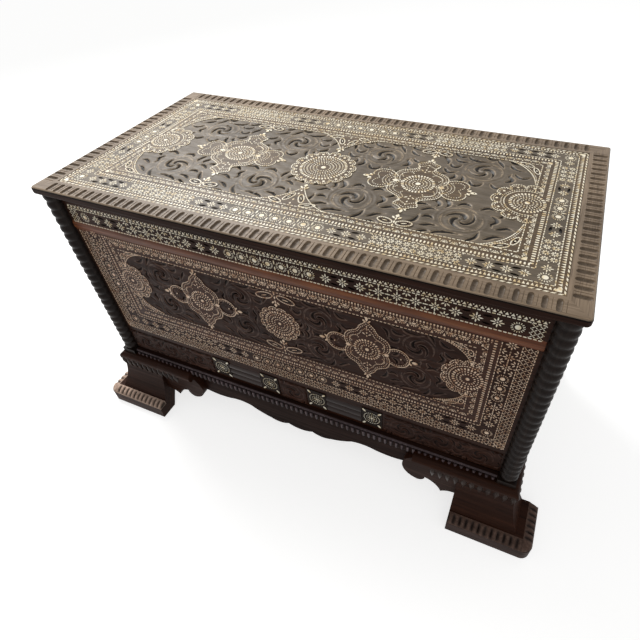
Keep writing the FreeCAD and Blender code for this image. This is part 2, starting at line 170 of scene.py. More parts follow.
# Base ornament; heights are measured from the floor, but RAIL_TILE_RISE from the lid's top
RAIL_TILES = (-206.7, -65.2, 65.2, 206.7)
RAIL_TILE_SIZE = (50.0, 62.0)
RAIL_TILE_RISE = -466.0
RAIL_TILE_PROUD = 2.2
RAIL_MARGIN = 4.0
RAIL_TILE_SPACE = 5.0
RAIL_SCROLL = 0.75
RAIL_SCROLL_PITCH = 90.0
REED_FIELDS = (-136.0, 136.0)
REED_FIELD_SIZE = (90.0, 58.0)
REED_FIELD_DEEP = 3.0
REED_PROUD = 3.6
REED_GAP = 0.3
REED_END = 0.5
CARVED_PROUD = 2.6
TRIM_SUNK = 0.3
TRIM_INSET = 2.0
DENTIL_PITCH = 14.0
DENTIL_HALF = 4.2
DENTIL_PROUD = 6.4
DENTIL_TOP = 191.5
DENTIL_LOW = 169.0
LEDGE_MID = 195.2
LEDGE_HALF = 3.6
LEDGE_PROUD = 2.5
# The ledge's place on the dentils' ramp of painted highlight and shade: one even tone over the whole ledge
LEDGE_PAINTED_TONE = 0.32
DROP_PITCH = 18.7
DROP_LOW = 129.0
DROP_TOP = 176.0
DROP_OUT = 8.0
DROP_BACK = 3.0
DROP_HALF = 6.8
DROP_THICK = 6.4
EDGE_WIDE = 24.0
EDGE_LOW = 36.0
EDGE_TOP = 50.0
EDGE_STEP = 1.4
EDGE_CUT_OUT = 4.0
EDGE_CUT_PAST = 1.0
TONGUE_PITCH = 14.6
TONGUE_DEEP = 0.3
CORNER_STEPS = 14
WING_LIP_FRONT = 0.5
WING_LIP_SIDE = 0.82


# Sheets

def span(node):
    """Lowest and highest corner of a CAD node, in millimetres."""
    return np.array(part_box(node)) / MM


class Sheet:
    """A face of the chest with its own flat coordinates, and the body that it belongs to."""

    def __init__(self, origin, right, up=(0, 0, 1), body="carcass"):
        self.origin = np.array(origin, float)
        self.axes = np.array([right, up, np.cross(right, up)], float)
        self.body = body

    def points(self, uvh):
        return (self.origin + np.asarray(uvh, float)[:, :3] @ self.axes) * MM


LID_LOW = np.minimum(span("lid_border_front")[0], span("lid_border_left")[0])
LID_HIGH = np.maximum(span("lid_border_back")[1], span("lid_border_right")[1])
LID_HALF_W, LID_HALF_D = (LID_HIGH - LID_LOW)[:2] / 2
LID_FIELD_W, LID_FIELD_D = LID_HALF_W - LID_FIELD, LID_HALF_D - LID_FIELD
LID_MID_Y = (LID_HIGH[1] + LID_LOW[1]) / 2
TOP_Z = LID_HIGH[2]
SIDE_LOW, SIDE_HIGH = span("right_panel")
SIDE_MID_Y = (SIDE_LOW[1] + SIDE_HIGH[1]) / 2
FOOT_LOW, FOOT_HIGH = span("foot_front_left")
REAR_FOOT_Y = span("foot_rear_left")[0][1]
FOOT_CORNER = (FOOT_LOW[0] + EDGE_WIDE, FOOT_LOW[1] + EDGE_WIDE)

LID_SHEET = Sheet((0, LID_MID_Y, span("lid_panel")[1][2]), (1, 0, 0), (0, 1, 0), "lid")
RIM_SHEET = Sheet((0, LID_MID_Y, TOP_Z), (1, 0, 0), (0, 1, 0), "lid")
ROOM = Sheet((0, 0, 0), (1, 0, 0), (0, 1, 0))


def front_sheet(y):
    """A face of the front; v is measured from the lid's top."""
    return Sheet((0, y, TOP_Z), (1, 0, 0))


def side_sheet(node, side):
    """The outer face of a node of a side wall, seen from outside; v is measured from the lid's top."""
    return Sheet((side * np.abs(span(node)[:, 0]).max(), SIDE_MID_Y, TOP_Z), (0, side, 0))


def added(name, data):
    """A new object in the scene."""
    made = bpy.data.objects.new(name, data)
    bpy.context.scene.collection.objects.link(made)
    return made


# Materials

GRAIN = {"x": (0.035, 1, 1), "y": (1, 0.035, 1), "z": (1, 1, 0.035)}

# Painted light along the depth of a cut: a place from 0 to 1 and what the wood's colour is multiplied by
# there; above 1 is a painted highlight at the rim, below 1 painted shade deeper in
CARVED_PAINTED_LIGHT = ((0.0, 1.0), (0.03, 1.05), (0.08, 2.5), (0.22, 2.0), (0.36, 0.42), (0.62, 0.1))
# The bluish-grey steps near the rims of the panel's and the rail's cuts are a painted reflection of a
# window; their floors are painted shade
PANEL_PAINTED_REFLECTION_AND_SHADE = (
    (0.0, 1.0), (0.03, 1.1), (0.08, (4.4, 8.0, 12.0)), (0.24, (3.0, 5.2, 7.6)), (0.38, 0.5), (0.7, 0.15),
)
RAIL_PAINTED_REFLECTION_AND_SHADE = (
    (0.0, 1.0), (0.03, 1.0), (0.08, (2.2, 3.0, 4.2)), (0.24, (1.6, 2.2, 3.0)), (0.38, 0.5), (0.7, 0.2),
)
# Flutes: a painted highlight at their rims and painted shade in their floors
FLUTED_PAINTED_LIGHT = ((0.0, 1.0), (0.1, 1.45), (0.3, 1.0), (0.6, 0.66), (1.0, 0.58))
# Tongues and dentils: a painted highlight on the crests, painted shade in the gaps and on the sides
TONGUE_PAINTED_LIGHT = ((0.0, 1.6), (0.2, 1.0), (0.45, 0.4), (1.0, 0.16))


def srgb(levels):
    """A colour as written on a screen, 0 to 255, for a shader socket."""
    share = np.array(levels) / 255
    return np.where(share <= 0.04045, share / 12.92, ((share + 0.055) / 1.055) ** 2.4)


def node(tree, kind, inputs=None, **settings):
    """A shader node; an input is a value or another node's output."""
    made = tree.nodes.new(kind)
    for key, value in settings.items():
        setattr(made, key, value)
    for key, value in (inputs or {}).items():
        if isinstance(value, bpy.types.NodeSocket):
            tree.links.new(value, made.inputs[key])
        else:
            made.inputs[key].default_value = value
    return made


def new_material(name):
    """An empty material and its node tree."""
    material = bpy.data.materials.new(name)
    material.use_nodes = True
    material.node_tree.nodes.clear()
    return material, material.node_tree


def shade(tree, sockets, height=None, strength=0.0, distance=0.0):
    """End a material with a Principled shader, bumped by a height where there is one."""
    if height is not None:
        bump = node(tree, "ShaderNodeBump", {"Height": height, "Strength": strength, "Distance": distance})
        sockets["Normal"] = bump.outputs[0]
    shader = node(tree, "ShaderNodeBsdfPrincipled", sockets)
    node(tree, "ShaderNodeOutputMaterial", {0: shader.outputs[0]})


def noise(tree, scale, stretch, detail, rough):
    """Noise from 0 to 1 over the part's own coordinates, stretched along the axes."""
    place = node(tree, "ShaderNodeTexCoord").outputs["Object"]
    scaled = node(tree, "ShaderNodeMapping", {"Vector": place, "Scale": stretch}).outputs[0]
    sockets = {"Vector": scaled, "Scale": scale, "Detail": detail, "Roughness": rough}
    return node(tree, "ShaderNodeTexNoise", sockets).outputs["Fac"]


def ramp(tree, fac, stops):
    """Colours along a value; each stop is a place and a colour, or a grey level."""
    made = node(tree, "ShaderNodeValToRGB", {"Fac": fac})
    elements = made.color_ramp.elements
    while len(elements) < len(stops):
        elements.new(0.5)
    for element, (place, colour) in zip(elements, stops):
        element.position = place
        element.color = (*(np.ones(3) * colour), 1)
    return made.outputs["Color"]


def blend(tree, mode, share, first, second):
    """Two colours mixed."""
    sockets = {0: share, 6: first, 7: second}
    return node(tree, "ShaderNodeMix", sockets, data_type="RGBA", blend_type=mode).outputs[2]


def mapped(tree, value, low, high, to_low, to_high):
    """A value carried from one range to another, held at its ends."""
    return node(tree, "ShaderNodeMapRange", {0: value, 1: low, 2: high, 3: to_low, 4: to_high}).outputs[0]


def wood(name, tones, grain, rough, shine, painted_light=CARVED_PAINTED_LIGHT):
    """Stained wood: streaks, pores and cloudy stain; cuts get a painted highlight at the rim and painted
    shade below.
    """
    material, tree = new_material(name)
    streak = noise(tree, 130.0, GRAIN[grain], 5.0, 0.6)
    pores = noise(tree, 620.0, GRAIN[grain], 2.0, 0.5)
    cloud = noise(tree, 6.5, (1, 1, 1), 3.0, 0.55)
    depth = node(tree, "ShaderNodeAttribute", attribute_name="carve").outputs["Fac"]
    dark, middle, light = (srgb(tone) for tone in tones)
    colour = ramp(tree, streak, ((0.3, dark), (0.52, middle), (0.74, light)))
    stain = ramp(tree, cloud, ((0.3, (0.75, 0.73, 0.71)), (0.7, (1.15, 1.13, 1.1))))
    colour = blend(tree, "MULTIPLY", 1.0, colour, stain)
    pore_tone = ramp(tree, pores, ((0.34, (0.45, 0.42, 0.4)), (0.46, 1)))
    colour = blend(tree, "MULTIPLY", 0.7, colour, pore_tone)
    sockets = {
        # the cut's depth picks painted light from the ramp: a painted highlight at the rims, painted shade
        # in the floors
        "Base Color": blend(tree, "MULTIPLY", 1.0, colour, ramp(tree, depth, painted_light)),
        "Roughness": mapped(tree, streak, 0.3, 0.7, rough[1], rough[0]),
        "Specular IOR Level": shine,
    }
    shade(tree, sockets, blend(tree, "MIX", 0.5, streak, pores), 0.25, 0.0006)
    return material


def wood_pair(name, tones, rough, shine, painted_light=CARVED_PAINTED_LIGHT):
    """The same wood with its grain along x and along y."""
    return [wood(name + "_" + grain, tones, grain, rough, shine, painted_light) for grain in "xy"]


def bone(name, pale, warm, stained):
    """Bone inlay: pieces differ a little, some are stained, each has fine scratches."""
    material, tree = new_material(name)
    tone = noise(tree, 95.0, (1, 1, 1), 1.0, 0.4)
    cloud = noise(tree, 8.0, (1, 1, 1), 3.0, 0.6)
    scratch = noise(tree, 900.0, (0.2, 1, 1), 2.0, 0.6)
    colour = ramp(tree, tone, ((0.32, srgb(stained)), (0.42, srgb(warm)), (0.55, srgb(pale))))
    age = ramp(tree, cloud, ((0.32, (0.78, 0.72, 0.62)), (0.6, 1)))
    sockets = {
        "Base Color": blend(tree, "MULTIPLY", 0.75, colour, age),
        "Roughness": mapped(tree, scratch, 0.3, 0.7, 0.28, 0.5),
        "Specular IOR Level": 0.5,
    }
    shade(tree, sockets, scratch, 0.12, 0.0003)
    return material


def metal(name, bright, tarnish, rough):
    """Old metal: tarnish in clouds, fine scratches."""
    material, tree = new_material(name)
    cloud = noise(tree, 70.0, (1, 1, 1), 5.0, 0.65)
    scratch = noise(tree, 1500.0, (0.1, 1, 1), 2.0, 0.6)
    sockets = {
        "Base Color": ramp(tree, cloud, ((0.4, srgb(tarnish)), (0.62, srgb(bright)))),
        "Metallic": 1.0,
        "Roughness": mapped(tree, cloud, 0.35, 0.65, rough[1], rough[0]),
    }
    shade(tree, sockets, scratch, 0.15, 0.0002)
    return material


DARK = ((32, 16, 10), (46, 25, 16), (62, 35, 23))
BASE = ((24, 15, 12), (38, 24, 20), (54, 36, 30))
# The rim's tones are a paler copy of the walls' dark wood: painted sheen, with some real wear
RIM = ((110, 94, 76), (130, 113, 94), (146, 128, 108))
WARM = ((66, 34, 18), (104, 58, 33), (140, 86, 50))
GOLD = ((38, 19, 11), (58, 31, 18), (80, 46, 28))
PLAIN = ((84, 56, 36), (120, 84, 56), (150, 110, 76))
# One wood for the feet's tongues in two copies: a paler one as painted light from the left, a darker one as
# painted shade
TONGUES_LIT_TONES = ((128, 109, 98), (154, 134, 121), (176, 155, 141))
TONGUES_SHADED_TONES = ((58, 44, 38), (72, 56, 49), (88, 70, 62))
dark_x, dark_y = wood_pair("dark_wood", DARK, (0.4, 0.58), 0.06)
base_x, base_y = wood_pair("base_wood", BASE, (0.4, 0.58), 0.02)
rim_sheen_x, rim_sheen_y = wood_pair("rim_wood_painted_sheen", RIM, (0.36, 0.5), 0.24, FLUTED_PAINTED_LIGHT)
panel_x, panel_y = wood_pair("panel_wood", DARK, (0.36, 0.52), 0.07, PANEL_PAINTED_REFLECTION_AND_SHADE)
rail_x, rail_y = wood_pair("rail_wood", DARK, (0.36, 0.52), 0.05, RAIL_PAINTED_REFLECTION_AND_SHADE)
strip_x, strip_y = wood_pair("strip_wood", WARM, (0.34, 0.52), 0.2)
inner_x, inner_y = wood_pair("inner_wood", PLAIN, (0.55, 0.75), 0.3)
dark_z = wood("dark_wood_z", ((19, 13, 11), (29, 21, 18), (43, 33, 28)), "z", (0.3, 0.45), 0.1)
tongues_lit = wood("tongue_wood_painted_light", TONGUES_LIT_TONES, "z", (0.4, 0.62), 0.1, TONGUE_PAINTED_LIGHT)
tongues_shaded = wood("tongue_wood_painted_shade", TONGUES_SHADED_TONES, "z", (0.4, 0.62), 0.1, TONGUE_PAINTED_LIGHT)
# The dentils' wood is a pale greyish copy of the base wood: a painted sheen
dentil = wood("dentil_wood_painted_sheen", ((70, 58, 60), (84, 72, 75), (100, 86, 90)), "z", (0.4, 0.62), 0.1, TONGUE_PAINTED_LIGHT)
lip = wood("lip_wood", ((42, 32, 29), (56, 45, 41), (72, 60, 56)), "z", (0.34, 0.5), 0.1)
reed = wood("reed_wood", ((36, 27, 25), (50, 39, 36), (66, 53, 49)), "x", (0.3, 0.45), 0.2)
ebony = wood("ebony", ((16, 9, 6), (26, 16, 10), (40, 26, 17)), "x", (0.4, 0.55), 0.06)
# Lid woods: paler than the same woods on the walls, a painted sheen with some real wear
lid_sheen_x = wood("lid_wood_painted_sheen_x", ((78, 68, 54), (95, 84, 69), (110, 98, 82)), "x", (0.4, 0.54), 0.3)
veneer_lid_painted_sheen = wood("veneer_lid_painted_sheen", ((64, 50, 32), (86, 68, 45), (108, 88, 60)), "x", (0.4, 0.54), 0.3)
veneer_front = wood("veneer_front", GOLD, "x", (0.42, 0.6), 0.14)
veneer_side = wood("veneer_side", GOLD, "y", (0.42, 0.6), 0.14)
cream = bone("bone_inlay", (246, 238, 217), (237, 222, 189), (215, 190, 144))
bone_warm = bone("bone_warm", (236, 208, 180), (216, 178, 144), (176, 130, 94))
brass = metal("hinge_brass", (190, 150, 84), (104, 76, 40), (0.28, 0.5))
steel = metal("screw_steel", (150, 142, 130), (78, 66, 56), (0.3, 0.55))


# Meshes

def by_start(table, name):
    """What a table holds for the first of its keys that begins a name."""
    return next(value for start, value in table if name.startswith(start))


def dress(name, mesh, material, body):
    """A new object with its finish, which rides on a body."""
    piece = added(name, mesh)
    mesh.materials.clear()
    mesh.materials.append(material)
    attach(piece, body)
    return piece


def soften(mesh, degrees):
    """Smooth shading, with edges sharper than the angle kept crisp."""
    work = bmesh.new()
    work.from_mesh(mesh)
    for face in work.faces:
        face.smooth = True
    for edge in work.edges:
        edge.smooth = edge.calc_face_angle(math.pi) < math.radians(degrees)
    work.to_mesh(mesh)
    work.free()


def mark(mesh, depth):
    """Store how deep each point lies in a cut, 0 to 1, for the painted highlight and painted shade in the
    cuts.
    """
    mesh.attributes.new("carve", "FLOAT", "POINT").data.foreach_set("value", depth.tolist())


def new_mesh(name, sheet, skin):
    """A mesh from a skin on a sheet; a fourth column of its points is how deep they lie in a cut, 0 to 1."""
    points, faces = skin
    mesh = bpy.data.meshes.new(name)
    mesh.from_pydata(sheet.points(points).tolist(), [], faces)
    if points.shape[1] > 3:
        mark(mesh, points[:, 3])
    return mesh


def new_piece(name, sheet, skin, material, crisp=None):
    """A piece from a skin on a sheet, flat-faced or smooth up to an angle."""
    mesh = new_mesh(name, sheet, skin)
    if crisp:
        soften(mesh, crisp)
    return dress(name, mesh, material, sheet.body)


def joined(skins):
    """Several skins as one."""
    points, faces, count = [], [], 0
    for some, skin in skins:
        points.append(some)
        faces += [[k + count for k in face] for face in skin]
        count += len(some)
    return np.concatenate(points), faces


def loft(rings):
    """Closed skin over a row of rings of points, with its outside out."""
    rings = np.array(rings, float)
    points = rings.reshape(-1, rings.shape[2])
    index = np.arange(len(points)).reshape(rings.shape[:2])
    ahead = np.roll(index, -1, axis=1)
    walls = np.stack([index[:-1], ahead[:-1], ahead[1:], index[1:]], -1).reshape(-1, 4)
    faces = walls.tolist() + [index[0, ::-1].tolist(), index[-1].tolist()]
    corners = [(face[0], a, b) for face in faces for a, b in zip(face[1:], face[2:])]
    if np.linalg.det(points[corners, :3]).sum() < 0:
        faces = [face[::-1] for face in faces]
    return points, faces


def prisms(shapes, low, high, step=0.0):
    """Closed prisms over flat outlines; step keeps neighbours' tops apart."""
    skins = []
    for number, shape in enumerate(shapes):
        top = high + step * (number % INLAY_STEPS)
        skins.append(loft([[(u, v, h) for u, v in shape] for h in (low, top)]))
    return joined(skins)


def inlay_piece(name, sheet, shapes, material, proud=INLAY_PROUD):
    """All the flat bits of one material on one face, as one piece."""
    new_piece(name, sheet, prisms(shapes, -INLAY_SUNK, proud, INLAY_STEP), material)


def block(name, sheet, us, vs, heights, depth, floor, material):
    """Closed block with a carved top: a grid of heights and of cut depths, 0 to 1, over a flat bottom."""
    rings = []
    for v, height, deep in zip(vs, heights, np.clip(depth, 0, 1)):
        top = np.column_stack([us, np.full(len(us), v), height, deep])
        rings.append(np.vstack([top, (us[-1], v, floor, 0), (us[0], v, floor, 0)]))
    return new_piece(name, sheet, loft(rings), material, CRISP_CARVED)


def node_copy(name):
    """A welded copy of a CAD node's mesh, for a piece that replaces it."""
    mesh = NODES[name].data.copy()
    work = bmesh.new()
    work.from_mesh(mesh)
    bmesh.ops.remove_doubles(work, verts=work.verts, dist=WELD_GAP)
    bmesh.ops.dissolve_limit(work, angle_limit=0.002, verts=work.verts, edges=work.edges)
    work.to_mesh(mesh)
    work.free()
    return mesh


def cut_piece(name, cad_node, sheet, cutter_skin, material, deepest=None):
    """The CAD node with cuts taken out, replacing the node; a deepest cut marks them by their depth."""
    blank = added("blank", node_copy(cad_node))
    cutter = added("cutter", new_mesh("cutter", sheet, cutter_skin))
    cut = blank.modifiers.new("cut", "BOOLEAN")
    cut.operation = "DIFFERENCE"
    cut.solver = "EXACT"
    cut.object = cutter
    bpy.context.view_layer.update()
    mesh = bpy.data.meshes.new_from_object(blank.evaluated_get(bpy.context.evaluated_depsgraph_get()))
    for part in (blank, cutter):
        bpy.data.objects.remove(part)
    mesh.name = name
    soften(mesh, CRISP)
    if deepest:
        places = np.array([vertex.co for vertex in mesh.vertices]) / MM
        depth = (sheet.origin - places) @ sheet.axes[2] / deepest
        mark(mesh, np.where((depth < 0.02) | (depth > 1), 0, depth))
    piece = dress(name, mesh, material, sheet.body)
    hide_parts(cad_node)
    return piece


# Bits and rows

def turned(shape, x, y, angle):
    """An outline turned about its own origin, then moved."""
    c, s = math.cos(angle), math.sin(angle)
    return np.asarray(shape, float) @ np.array([[c, s], [-s, c]]) + (x, y)


def moved(shapes, x, y, angle=0.0, flip=False):
    """A group of outlines, mirrored left to right if asked, turned and moved."""
    side = np.array([-1.0 if flip else 1.0, 1.0])
    return [turned(np.asarray(shape) * side, x, y, angle) for shape in shapes]


def placer(shape):
    """A bit from its outline."""
    return lambda x, y, angle=0.0: turned(shape, x, y, angle)


def stamp(*unit):
    """A kind of bit, given in half lengths and half widths."""
    return lambda length, width: placer(np.array(unit) * (length / 2, width / 2))


dash = stamp((-1, -1), (1, -1), (1, 1), (-1, 1))
lens = stamp((-1, 0), (-0.55, -0.75), (0, -1), (0.55, -0.75), (1, 0), (0.55, 0.75), (0, 1), (-0.55, 0.75))
diamond = stamp((-1, 0), (0, -1), (1, 0), (0, 1))
triangle = stamp((-1, 0), (1, 0), (0, 2))
rope_bit = stamp((-1.35, -1), (0.3, -1), (1.35, 1), (-0.3, 1))


def tooth(width, height):
    """A bit with a square foot and a rounded tip."""
    b, neck, tip = width / 2, height - width / 2, height - 0.15 * width
    return placer([(-b, 0), (b, 0), (b, neck), (0.5 * b, tip), (-0.5 * b, tip), (-b, neck)])


def turns(count):
    """Directions all round, evenly spread."""
    return np.arange(count) * TURN / count


def polar(radius, angle):
    """A place, from its distance and its direction."""
    return radius * math.cos(angle), radius * math.sin(angle)


def disc(radius, sides=6):
    """A round bit, the same whichever way it is turned."""
    shape = np.array([polar(radius, a) for a in turns(sides)])
    return lambda x, y, angle=0.0: shape + (x, y)


small_dash = dash(3.3, 2.1)
small_dot = disc(1.25)
DASH_PITCH = 4.7
DOT_PITCH = 5.0


def rays(radius, angles, bit):
    """Bits about a middle, each pointing outwards."""
    return [bit(*polar(radius, a), a) for a in angles]


def ring_of(radius, pitch, bit):
    """Bits all round a circle, about a pitch apart."""
    return rays(radius, turns(max(3, round(TURN * radius / pitch))), bit)


def spots(start, end, pitch):
    """Evenly spread places along a row, about a pitch apart."""
    count = max(1, round((end - start) / pitch))
    return start + (end - start) / count * (np.arange(count) + 0.5)


def row(start, end, pitch, t, bit):
    """Bits in a straight row, about a pitch apart."""
    return [bit(s, t) for s in spots(start, end, pitch)]


def walked(line):
    """How far along a line each of its points lies."""
    return np.concatenate([[0], np.cumsum(np.hypot(*np.diff(line, axis=0).T))])


def along(line, at, behind, ahead):
    """Places at distances along a fine line, and the way that it runs there."""
    far = walked(line)

    def reached(distance):
        return np.column_stack([np.interp(distance, far, line[:, 0]), np.interp(distance, far, line[:, 1])])

    run = reached(at + ahead) - reached(at - behind)
    return reached(at), np.arctan2(run[:, 1], run[:, 0])


def smooth(points, pitch, closed=False):
    """Places along a smooth curve through points, a pitch apart, and the way that it runs there."""
    p = np.asarray(points, float)
    if closed:
        p = np.vstack([p[-1], p, p[0], p[1]])
    else:
        p = np.vstack([2 * p[0] - p[1], p, 2 * p[-1] - p[-2]])
    t = np.linspace(0, 1, 12, endpoint=False)[:, None]
    runs = []
    for a, b, c, d in zip(p, p[1:], p[2:], p[3:]):
        square, cube = 2 * a - 5 * b + 4 * c - d, 3 * b - a - 3 * c + d
        runs.append(0.5 * (2 * b + (c - a) * t + square * t ** 2 + cube * t ** 3))
    line = np.vstack(runs + [p[-2]])
    length = walked(line)[-1]
    count = max(3 if closed else 1, round(length / pitch))
    at = np.linspace(0, length, count + 1)
    return along(line, at[:-1] if closed else at, 0.4, 0.4)


def trail(points, pitch, bit, closed=False):
    """Bits along a smooth curve."""
    return [bit(x, y, a) for (x, y), a in zip(*smooth(points, pitch, closed))]


def edging(line, pitch, bit):
    """Bits along a line that is already fine."""
    length = walked(line)[-1]
    count = round(length / pitch)
    return [bit(x, y, a) for (x, y), a in zip(*along(line, length / count * np.arange(count), 0, 0.5))]


def double_line(outer, inner, lay=trail):
    """A line of dashes with a line of dots beside it."""
    return lay(outer, DASH_PITCH, small_dash) + lay(inner, DOT_PITCH, small_dot)


def arc(x, radius, middle, sweep):
    """Part of a circle on the middle line, about a direction."""
    return np.array([polar(radius, a) for a in middle + np.linspace(-sweep, sweep, 14)]) + (x, 0)


def outline(points, closed=True):
    """A smooth outline as one flat shape."""
    return smooth(points, 3.0, closed)[0]


def slim(shapes, share):
    """Outlines drawn in about their own middles."""
    return [np.mean(shape, axis=0) + share * (shape - np.mean(shape, axis=0)) for shape in shapes]


def clear_of(shapes, x, y, radius):
    """The outlines whose middle lies outside a circle on either side."""
    kept = []
    for shape in shapes:
        u, v = np.mean(shape, axis=0)
        if math.hypot(abs(u) - x, v - y) > radius:
            kept.append(shape)
    return kept


# Patterns of the bands

def star_flower(size, reach=None):
    """Eight thin petals about a small dot, with a bit beyond every second one where there is a reach."""
    shapes = [disc(0.12 * size, 8)(0, 0)]
    for length, start in ((0.72 * size, 0), (0.54 * size, TURN / 8)):
        shapes += rays(0.24 * size + length / 2, turns(4) + start, lens(length, 0.21 * size))
    if reach:
        shapes += rays(reach, turns(4), lens(4.6, 2.2))
    return shapes


def ringed_disc(size):
    """Disc inside a ring of short rays."""
    return [disc(0.38 * size, 14)(0, 0)] + rays(0.74 * size, turns(16), dash(0.27 * size, 0.09 * size))


def grid(s0, s1, t0, t1, cell, star, dot):
    """A star in each cell of a close grid, with dots between them."""
    columns, rows = max(1, round((s1 - s0) / cell)), max(1, round((t1 - t0) / cell))
    s, t = np.linspace(s0, s1, 2 * columns + 1), np.linspace(t0, t1, 2 * rows + 1)
    shapes = []
    for x in s[1::2]:
        for y in t[1::2]:
            shapes += moved(star, x, y)
    return shapes + [disc(dot)(x, y) for x in s[::2] for y in t[::2]]


def lattice(s0, s1, t0, t1, cell):
    """Thin crosses in a close grid."""
    cross = rays(0.33 * cell, turns(4) + TURN / 8, lens(0.42 * cell, 0.135 * cell))
    return grid(s0, s1, t0, t1, cell, [disc(1.0)(0, 0)] + cross, 0.9)


def star_grid(s0, s1, t0, t1, cell):
    """Small eight-rayed stars in a close grid."""
    return grid(s0, s1, t0, t1, cell, rays(0.29 * cell, turns(8), lens(0.36 * cell, 0.14 * cell)), 1.2)


def star_row(s0, s1, t0, t1, cell):
    """Thin stars in a row, with half stars between them along both edges."""
    columns = max(1, round((s1 - s0) / cell))
    places, mid = np.linspace(s0, s1, 2 * columns + 1), (t0 + t1) / 2
    half_star = rays(0.17 * cell, math.pi * np.array((0.2, 0.5, 0.8)), lens(0.22 * cell, 0.075 * cell))
    shapes = []
    for s in places[1::2]:
        shapes += moved(star_flower(0.35 * cell, 0.42 * cell), s, mid)
    for s in places[::2]:
        shapes.append(disc(1.5)(s, mid))
        shapes += moved(half_star, s, t0) + moved(half_star, s, t1, math.pi)
    return shapes


def fan_row(s0, s1, t, pitch, size):
    """Half discs with seven rays round each, opening inwards, and small triangles between them."""
    fan = [[polar(0.42 * size, a) for a in np.linspace(0, math.pi, 7)]]
    fan += rays(0.8 * size, np.linspace(0.12, math.pi - 0.12, 7), dash(0.42 * size, 0.17 * size))
    fan.append(triangle(0.5 * size, 0.75 * size)(pitch / 2, 1.25 * size, math.pi))
    shapes = []
    for s in spots(s0, s1, pitch):
        shapes += moved(fan, s, t)
    return shapes


# Half a main band, from its middle: places of its discs and flowers, ends of its close stars, places of bars
Band = namedtuple("Band", "discs flowers stars bars")
LID_LONG = Band((0, 29, 58, 87), (113.5, 142, 170.5, 361, 389, 417, 445), (186, 345), (14.5, 43.5, 72.5))
LID_SHORT = Band((0, 28.5), (57, 85.5, 182), (101, 166), (14.2,))
FRONT_FRIEZE = Band((0, 29, 58, 87, 457), (120, 153.5, 187, 357, 391, 425), (205, 339), (14.5, 43.5, 72.5))
SIDE_FRIEZE = Band((0, 29, 188), (57, 88, 157), (105, 140), (14.5,))
UPRIGHT_BAND = Band((0, 28.5), (117,), (47, 100), (14.2,))


def band(layout, t, size, fill, cell):
    """Main band of discs, flowers and close stars, mirrored about the middle of its row."""
    reach = BAND_HALF - BAND_MARGIN
    shapes = []
    for side in SIDES:
        for s in layout.discs:
            if s or side > 0:
                shapes += moved(ringed_disc(BAND_DISC), side * s, t)
        for s in layout.flowers:
            shapes += moved(star_flower(size), side * s, t)
        low, high = sorted(side * s for s in layout.stars)
        shapes += fill(low, high, t - reach, t + reach, cell)
        for s in layout.bars:
            shapes += [lens(11.0, 2.6)(side * s, t + y, UPRIGHT) for y in (-7.5, 7.5)]
    return shapes


def band_hollows(layout, t):
    """Leaf-shaped hollows between neighbouring flowers of a band."""
    shapes = []
    for a, b in zip(layout.flowers, layout.flowers[1:]):
        if b - a < 40:
            for side, up in CORNERS:
                shapes.append(lens(17.0, 5.6)(side * (a + b) / 2, t + up * 8.5, 0.1275 * side * up))
    return shapes


# Motifs of the fields

def placed(motif, x, y, angle=0.0, flip=False):
    """A motif put in its place."""
    return [moved(shapes, x, y, angle, flip) for shapes in motif]


def together(motifs):
    """Several motifs as one."""
    return [sum(shapes, []) for shapes in zip(*motifs)]


def in_corners(motif, half_w, half_h, mid):
    """A lower right corner motif in all four corners."""
    return [placed(motif, side * half_w, mid + up * half_h, 0.0 if up < 0 else math.pi, side == up)
            for side, up in CORNERS]


def hung(motif, x, half_h, mid):
    """A hanging motif at the top and, turned over, at the bottom."""
    return [placed(motif, x, mid + half_h), placed(motif, x, mid - half_h, math.pi)]


def wheel(radius, core):
    """Disc with rings of dots and strokes round it, the outermost bold."""
    shapes = [disc(core, 14)(0, 0)] + ring_of(radius - 3.0, 6.3, dash(5.6, 3.3))
    kinds = ((5.5, disc(1.5)), (5.3, dash(3.6, 2.1)))
    for number, r in enumerate(np.arange(radius - 9.8, core + 3.0, -6.6)):
        shapes += ring_of(r, *kinds[number % 2])
    return shapes


def scallop(radius, bulge, count, reach=math.pi, steps=6):
    """Line of round petals all round a circle, or over part of it on the left."""
    share = np.arange(count * steps + 1) / steps
    x = 2 * (share % 1) - 1
    r = radius - bulge + bulge * np.sqrt(1 - x * x)
    a = math.pi + reach * (2 * share / count - 1)
    return np.column_stack([r * np.cos(a), r * np.sin(a)])


def round_medallion(radius, petals):
    """Wheel inside a ring of round petals, each with a disc in it."""
    bulge = 0.14 * radius
    bits = wheel(0.72 * radius, 0.075 * radius)
    bits += double_line(*(scallop(radius - d, bulge, petals) for d in (1.5, 6.0)), edging)
    bits += rays(0.83 * radius, turns(petals) + math.pi / petals, disc(0.042 * radius, 10))
    return bits, [scallop(radius, bulge, petals)[:-1]], []


# Upper right quarters of the pointed medallions
LID_BODY = (
    (43, 0), (49, 5), (55, 16), (56, 30), (50, 43), (38, 51), (26, 57),
    (19, 64), (18, 71), (23, 78), (23, 85), (13, 90), (0, 98),
)
FRONT_BODY = (
    (40, 0), (45, 5), (49, 16), (48, 29), (42, 40), (32, 46),
    (24, 51), (19, 58), (16, 65), (9, 72), (0, 80),
)
CURL = ((0.66, 0.2), (0.76, 0.3), (0.62, 0.4), (0.44, 0.43), (0.36, 0.38))


